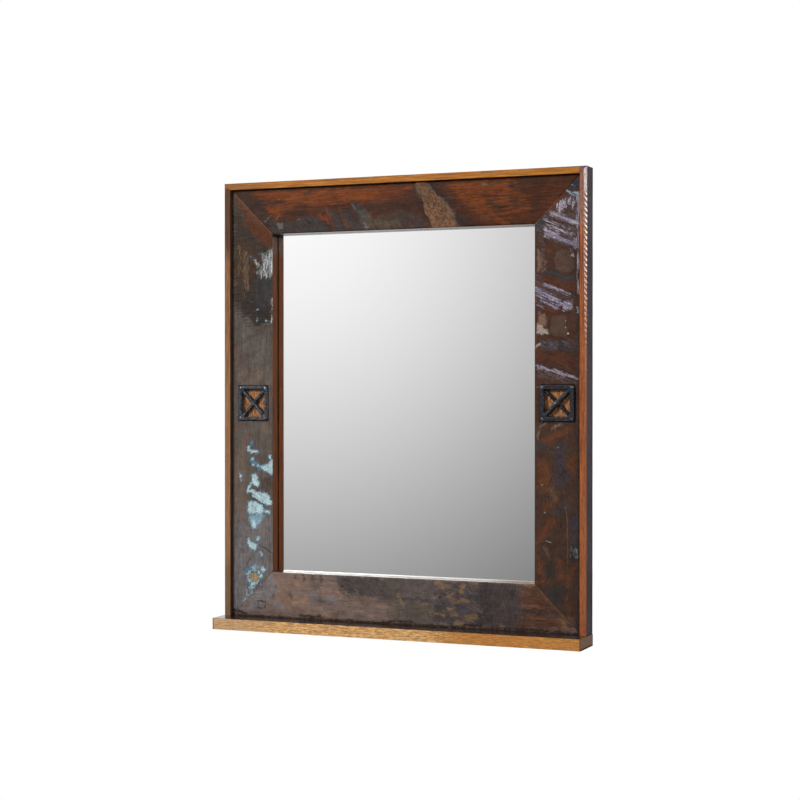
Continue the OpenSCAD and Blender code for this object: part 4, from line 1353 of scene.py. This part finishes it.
case_board("case_top", "case_board_top", TOP_FRONT, TOP_FRONT, UP, FINE_ARRIS)
case_board("case_left", "case_board_left", LEFT_FRONT, LEFT_ARRIS, LEFT, FINE_ARRIS)
case_board("case_right", "case_board_right", RIGHT_FRONT, RIGHT_ARRIS, RIGHT, WORN_ARRIS, taper=True)


# ---- shelf ----

# How much the right end of the shelf has worn away, and how far in a corner of that end may lie.
END_WEAR, END_REACH = 1.5 * MM, 2 * MM


def shelf():
    """The shelf board: worn round at its right end, with its other edges eased."""
    low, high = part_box("shelf_board")
    board = new_block("shelf", low, Vector((high.x - END_WEAR, high.y, high.z)))

    def upright(a, b):
        return abs((a - b).z) > 10 * MM

    def at_front(a, b):
        return max(a.y, b.y) < low.y + MM

    def at_foot(a, b):
        return max(a.z, b.z) < low.z + MM

    def at_right(a, b):
        return min(a.x, b.x) > high.x - END_REACH

    def at_back(a, b):
        return min(a.y, b.y) > high.y - MM

    def at_top(a, b):
        return min(a.z, b.z) > high.z - MM

    round_edges(board, 3 * MM, 5, lambda a, b: upright(a, b) and at_front(a, b))
    round_edges(board, 8 * MM, 6, lambda a, b: upright(a, b) and at_back(a, b) and at_right(a, b))
    round_edges(board, 5 * MM, 6, lambda a, b: at_foot(a, b) and at_right(a, b))
    round_edges(board, 2 * MM, 4, lambda a, b: at_foot(a, b) and at_front(a, b) and abs((a - b).x) > 100 * MM)
    round_edges(board, 0.9 * MM, 3, lambda a, b: at_top(a, b) and not at_back(a, b))
    slices_along(board, X, low.x, high.x)
    wear_in(board, size=35 * MM, depth=0.3 * MM)
    front_slot, top_slot, end_slot, under_slot = range(4)
    flat_turn, end_turn = 0.7, 0.8
    for face in board.data.polygons:
        if abs(face.normal.z) > flat_turn:
            face.material_index = top_slot if face.normal.z > 0 else under_slot
        else:
            face.material_index = end_slot if abs(face.normal.x) > end_turn else front_slot
    keep_flats(board)
    add_piece(board, "shelf_wood", "shelf_board", SHELF_FRONT, SHELF_TOP, SHELF_END, SHELF_UNDER)


shelf()


# ---- the four face boards ----

GRAIN_TOP = grain_of((90, 42, 11), (67, 31, 10), (40, 21, 10), 1, 80, 4, 20.0, 1.2)
GRAIN_BOTTOM = grain_of((136, 115, 104), (114, 97, 89), (84, 70, 64), 0, 60, 7, 21.0)
GRAIN_LEFT = grain_of((108, 96, 88), (90, 81, 75), (64, 56, 52), 90, 60, 2, 22.0, 1.1)
GRAIN_RIGHT = grain_of((92, 54, 36), (70, 47, 37), (46, 37, 34), 86, 40, 5, 23.0, 1.1)

face_board("face_top", "face_board_top", UP, TOP_FILMS, GRAIN_TOP, REVEAL_TOP_PAINTED_REFLECTION,
           turn=1, worn=0.62, sawn=False, seed=11)
face_board("face_bottom", "face_board_bottom", DOWN, BOTTOM_FILMS, GRAIN_BOTTOM, REVEAL_BOTTOM_PAINTED_GLARE,
           turn=0, worn=0.52, sawn=False, seed=23)
face_board("face_left", "face_board_left", LEFT, LEFT_FILMS, GRAIN_LEFT, REVEAL_SIDE,
           turn=88, worn=0.55, sawn=False, seed=37)
face_board("face_right", "face_board_right", RIGHT, RIGHT_FILMS, GRAIN_RIGHT, REVEAL_SIDE,
           turn=-24, worn=0.6, sawn=True, seed=51)


# ---- iron ----

BOSS_RADIUS, BOSS_HEIGHT, BOSS_SINK = 5.4 * MM, 4.4 * MM, 2.4 * MM
HUB_SINK, HUB_RISE = 3 * MM, 2.9 * MM
OVER_SINK, UNDER_SINK = 0.6 * MM, 2.6 * MM
# Room between the bars or bosses and the square's edge, for the lumps of the casting.
BAR_ROOM, BOSS_ROOM = 0.3 * MM, 0.2 * MM
CAST_CELL = 0.55 * MM
LUMP_WIDTH, LUMP_DEPTH = 5 * MM, 0.32 * MM


def iron_material(name, light, dark, rough):
    """Cast iron, blackened and waxed, bare on its high spots."""
    material, graph = new_material(name)
    where = graph.where()
    skin = graph.noise(where, 260.0, 4.0, 0.6)
    pits = graph.noise(where, 900.0, 2.0, 0.6)
    colour = graph.mix(graph.ramp(skin, 0.4, 0.62), tint(*dark), tint(*light))
    roughness = graph.ramp(pits, 0.35, 0.7, rough, rough + 0.25)
    height = graph.plus(pits, 0.3, skin)
    finish_material(graph, colour, roughness, height, {"Metallic": 0.55, "Specular IOR Level": 0.5}, 0.3 * MM)
    return material


IRON_LEFT = iron_material("iron_left", (72, 78, 86), (30, 33, 38), 0.4)
IRON_RIGHT = iron_material("iron_right", (48, 50, 58), (17, 18, 22), 0.25)
# The nail heads are lighter than the grilles' iron, a painted highlight for their glints.
NAIL_IRON_GLINT = iron_material("nail_iron_painted_glint", (128, 126, 138), (46, 46, 53), 0.25)


def rod(start, end, radius, sides=32):
    """A bar between two points."""
    turn = (end - start).to_track_quat("Z", "Y").to_euler()
    bpy.ops.mesh.primitive_cylinder_add(vertices=sides, radius=radius, depth=(end - start).length,
                                        location=(start + end) / 2, rotation=turn)
    return bpy.context.object


def grille(name, node, side, material, frame_bar, over, under, hub, hub_sides):
    """A square of cast bars with a boss at each corner and two bars crossed inside.

    Over and under are the crossed bars: the way each leans, and its radius. Frame_bar is the radius
    of the bars round them, and hub the radius of the boss where they cross."""
    low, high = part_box(node)
    middle = GRILLE_SPOTS[side] + Vector((0, FACE_LOW.y, 0))
    half = GRILLE_REACH[side]
    bar = Vector((half.x - frame_bar - BAR_ROOM, 0, half.z - frame_bar - BAR_ROOM))
    corner = Vector((half.x - BOSS_RADIUS - BOSS_ROOM, 0, half.z - BOSS_RADIUS - BOSS_ROOM))
    parts = []
    for way_x, way_z in ((1, 1), (-1, 1), (-1, -1), (1, -1)):
        start = middle + Vector((way_x * bar.x, 0, way_z * bar.z))
        stop = middle + Vector((-way_z * bar.x, 0, way_x * bar.z))
        parts.append(rod(start, stop, frame_bar))
        boss = middle + Vector((way_x * corner.x, BOSS_SINK, way_z * corner.z))
        parts.append(rod(boss, boss - Vector((0, BOSS_HEIGHT, 0)), BOSS_RADIUS))
    for (lean, radius), sink in ((over, OVER_SINK), (under, UNDER_SINK)):
        run = Vector((lean * corner.x, 0, corner.z))
        sunk = middle + Vector((0, sink, 0))
        parts.append(rod(sunk - run, sunk + run, radius))
    parts.append(rod(middle + Vector((0, HUB_SINK, 0)), middle - Vector((0, HUB_RISE, 0)), hub, hub_sides))
    for part in parts:
        settle(part)
    iron = join(name, parts)
    finish_with(iron, "REMESH", mode="VOXEL", voxel_size=CAST_CELL)
    finish_with(iron, "SMOOTH", factor=0.6, iterations=4)
    places, normals = corners_of(iron), normals_of(iron)
    lumps = bumps(places, (LUMP_WIDTH, LUMP_WIDTH, LUMP_WIDTH))
    places += normals * (LUMP_DEPTH * lumps)[:, None]
    places[:, 1] = np.clip(places[:, 1], low.y, high.y)
    put_corners(iron, places)
    smooth(iron, 60)
    add_piece(iron, "cast_iron", node, material)


NAIL_RADIUS, NAIL_SQUASH, NAIL_LIFT = 3.2 * MM, 0.5, 1.6 * MM
SHANK_INSET, SHANK_LENGTH = 2.0 * MM, 13 * MM
HAMMER_WIDTH, HAMMER_DEPTH = 2.4 * MM, 0.35 * MM


def nail(at):
    """One nail: a flattened dome with a thin shank behind it."""
    bpy.ops.mesh.primitive_uv_sphere_add(segments=20, ring_count=14, radius=NAIL_RADIUS, location=at)
    head = bpy.context.object
    head.scale = (1, NAIL_SQUASH, 1)
    settle(head)
    edit(head)
    slice_at(at, (0, -1, 0), keep_front=True)
    pick(head, "faces", lambda f: f.normal.y > FACING)
    bpy.ops.mesh.inset(thickness=SHANK_INSET)
    push_out(SHANK_LENGTH)
    done()
    return head


def nails():
    """Eight hand-forged nails that hold the grilles at their corners."""
    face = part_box("grille_nails")[0].y
    heads = []
    for side in (-1, 1):
        spot, half = GRILLE_SPOTS[side], GRILLE_REACH[side]
        for way_x in (-1, 1):
            for way_z in (-1, 1):
                heads.append(nail(Vector((
                    spot.x + way_x * (half.x - BOSS_RADIUS), face + NAIL_LIFT,
                    spot.z + way_z * (half.z - BOSS_RADIUS)))))
    piece = join("forged_nails", heads)
    places, normals = corners_of(piece), normals_of(piece)
    facets = bumps(places, (HAMMER_WIDTH, HAMMER_WIDTH, HAMMER_WIDTH), 2)
    proud = places[:, 1] < face + 1.5 * MM
    places[proud] -= (normals * (HAMMER_DEPTH * np.clip(facets + 0.3, 0, 1))[:, None])[proud]
    put_corners(piece, places)
    smooth(piece, 40)
    add_piece(piece, "cast_iron", "grille_nails", NAIL_IRON_GLINT)


grille("grille_left", "iron_grille_left", -1, IRON_LEFT, frame_bar=3.8 * MM, over=(-1, 3.3 * MM),
       under=(1, 3.4 * MM), hub=3.9 * MM, hub_sides=24)
grille("grille_right", "iron_grille_right", 1, IRON_RIGHT, frame_bar=4.5 * MM, over=(1, 4.3 * MM),
       under=(-1, 2.9 * MM), hub=6.2 * MM, hub_sides=4)
nails()


# ---- mirror ----

SILVER_DEPTH = 2.6 * MM


def mirror():
    """The mirror: its silvered face lies where the eye sees it through the glass."""
    low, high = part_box("mirror_glass")
    pane = new_block("mirror_pane", (low.x, low.y + SILVER_DEPTH, low.z), high)
    round_edges(pane, 0.4 * MM, 2, lambda a, b: True)
    keep_flats(pane)
    material, graph = new_material("silvered_glass")
    haze = graph.ramp(graph.noise(graph.where(), 6.0, 3.0, 0.5), 0.3, 0.8, 0.0, 0.012)
    finish_material(graph, tint(252, 252, 252), haze, 0.0, {"Metallic": 1.0}, strength=0.0)
    add_piece(pane, "mirror", "mirror_glass", material)


mirror()


# ---- finishes of the parts kept from the frame ----

def metal_material(name, light, dark, rough, scale):
    """Plated or dull steel with a faint spangle."""
    material, graph = new_material(name)
    spangle = graph.noise(graph.where(), scale, 4.0, 0.6)
    colour = graph.mix(graph.ramp(spangle, 0.35, 0.65), tint(*dark), tint(*light))
    roughness = graph.ramp(spangle, 0.3, 0.7, rough, rough + 0.2)
    finish_material(graph, colour, roughness, spangle, {"Metallic": 1.0}, 0.05 * MM)
    return material


def dress(material, *nodes):
    for node in nodes:
        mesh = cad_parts[node].data
        mesh.materials.clear()
        mesh.materials.append(material)


PLYWOOD = wood_material(
    "plywood", grain_of((200, 164, 118), (180, 142, 98), (146, 108, 72), 88, 160, 9, 13.0), 0.6, RAW,
    stain=Stain((170, 132, 92), (190, 152, 108), 20, 0.45))
SPACER_WOOD = wood_material(
    "spacer_wood", grain_of((170, 132, 92), (146, 110, 76), (108, 78, 52), 90, 70, 4, 14.0), 0.6, RAW)
SPLINE_WOOD = wood_material(
    "spline_wood", grain_of((196, 158, 112), (172, 134, 92), (130, 98, 64), 45, 40, 3, 15.0), 0.6, RAW)
ZINC = metal_material("zinc_plate", (196, 198, 200), (150, 152, 156), 0.32, 300.0)
BRIGHT = metal_material("bright_steel", (204, 202, 198), (160, 158, 156), 0.25, 700.0)
DULL = metal_material("dull_steel", (96, 92, 92), (60, 56, 56), 0.45, 500.0)

dress(PLYWOOD, "back_panel")
dress(SPACER_WOOD, "spacer_top", "spacer_bottom", "spacer_left", "spacer_right", "glass_shims")
dress(SPLINE_WOOD, "mitre_splines")
dress(ZINC, "hanger_plate_left", "hanger_plate_right")
dress(BRIGHT, "hanger_screws", "back_panel_screws", "shelf_screws")
dress(DULL, "case_nails")


# ---- camera ----

CAMERA_PLACE = (1.1793, -2.79987, -0.23132)
CAMERA_TURN = (90 - 0.44, 0, 23.026)
LENS = 79.07

camera_data = bpy.data.cameras.new("camera")
camera_data.lens = LENS
camera = bpy.data.objects.new("camera", camera_data)
camera.location = CAMERA_PLACE
camera.rotation_euler = [math.radians(angle) for angle in CAMERA_TURN]
bpy.context.scene.collection.objects.link(camera)
bpy.context.scene.camera = camera


# ---- light ----

AMBIENT = 0.27
WHITE = (1.0, 1.0, 1.0, 1.0)
MIDDLE = (0, -0.03, CENTRE_Z)
RIGHT_EDGE = (0.33, 0, 0.1)
RIGHT_ARRIS_PLACE = (0.336, -0.03, 0.1)


def area_light(name, place, aim, size, power):
    light = bpy.data.lights.new(name, "AREA")
    light.shape = "RECTANGLE"
    light.size, light.size_y = size
    light.energy = power
    lamp = bpy.data.objects.new(name, light)
    lamp.location = place
    lamp.rotation_euler = (Vector(place) - Vector(aim)).to_track_quat("Z", "Y").to_euler()
    bpy.context.scene.collection.objects.link(lamp)


def world_light():
    """White to the eye, even for soft light, and a graded studio wall in reflections."""
    world = bpy.data.worlds.new("studio")
    bpy.context.scene.world = world
    world.use_nodes = True
    world.node_tree.nodes.clear()
    graph = Graph(world.node_tree)
    way = graph.split(graph.add("ShaderNodeTexCoord").outputs["Generated"])
    upward = graph.ramp(way["Z"], -0.22, 0.12, 0.18, 1.0)
    sideways = graph.ramp(way["X"], -0.455, -0.2, 1.0, 0.34)
    path = graph.light_path()
    mirrored = graph.math("MAXIMUM", path["Is Glossy Ray"], path["Is Transmission Ray"])
    level = graph.blend(mirrored, AMBIENT, graph.times(upward, sideways))
    level = graph.blend(path["Is Camera Ray"], level, 1.0)
    background = graph.add("ShaderNodeBackground", {"Strength": level, "Color": WHITE})
    graph.surface(background, "ShaderNodeOutputWorld")


world_light()
area_light("key", (-1.9, -3.4, 1.5), MIDDLE, (0.8, 0.8), 128)
area_light("side_lamp", (2.25, -0.62, 0.55), RIGHT_EDGE, (0.7, 1.2), 21)
area_light("arris_lamp", (1.77, -1.56, 0.34), RIGHT_ARRIS_PLACE, (0.35, 0.5), 3.0)


# ---- floor ----

FLOOR_Z = -1.8
FLOOR_RADIUS = 3.4
# The shares of the floor's radius between which it fades into the white round it.
FADE_START, FADE_END = 0.62, 0.98


def floor():
    """A pale round floor that fades to white, unseen from below and in reflections."""
    bpy.ops.mesh.primitive_circle_add(
        vertices=96, radius=FLOOR_RADIUS, fill_type="NGON", location=(0, 0, FLOOR_Z))
    ground = bpy.context.object
    ground.name = "floor"
    settle(ground)
    material, graph = new_material("floor")
    pale = graph.add("ShaderNodeBsdfPrincipled", {
        "Base Color": tint(240, 240, 240), "Roughness": 0.9, "Specular IOR Level": 0.0})
    glow = graph.add("ShaderNodeEmission", {"Color": WHITE, "Strength": 1.0})
    clear = graph.add("ShaderNodeBsdfTransparent")
    distance = graph.add("ShaderNodeVectorMath", {0: graph.where()}, operation="LENGTH").outputs["Value"]
    fade = graph.ramp(distance, FLOOR_RADIUS * FADE_START, FLOOR_RADIUS * FADE_END)
    path = graph.light_path()
    under = graph.add("ShaderNodeNewGeometry").outputs["Backfacing"]
    unseen = graph.math("MAXIMUM", under, path["Is Glossy Ray"])

    def either(share, first, second):
        return graph.add("ShaderNodeMixShader", {0: share, 1: first.outputs[0], 2: second.outputs[0]})

    lit = either(path["Is Camera Ray"], pale, either(fade, pale, glow))
    graph.surface(either(unseen, lit, clear))
    ground.data.materials.append(material)


floor()

bpy.context.scene.view_settings.view_transform = "Standard"
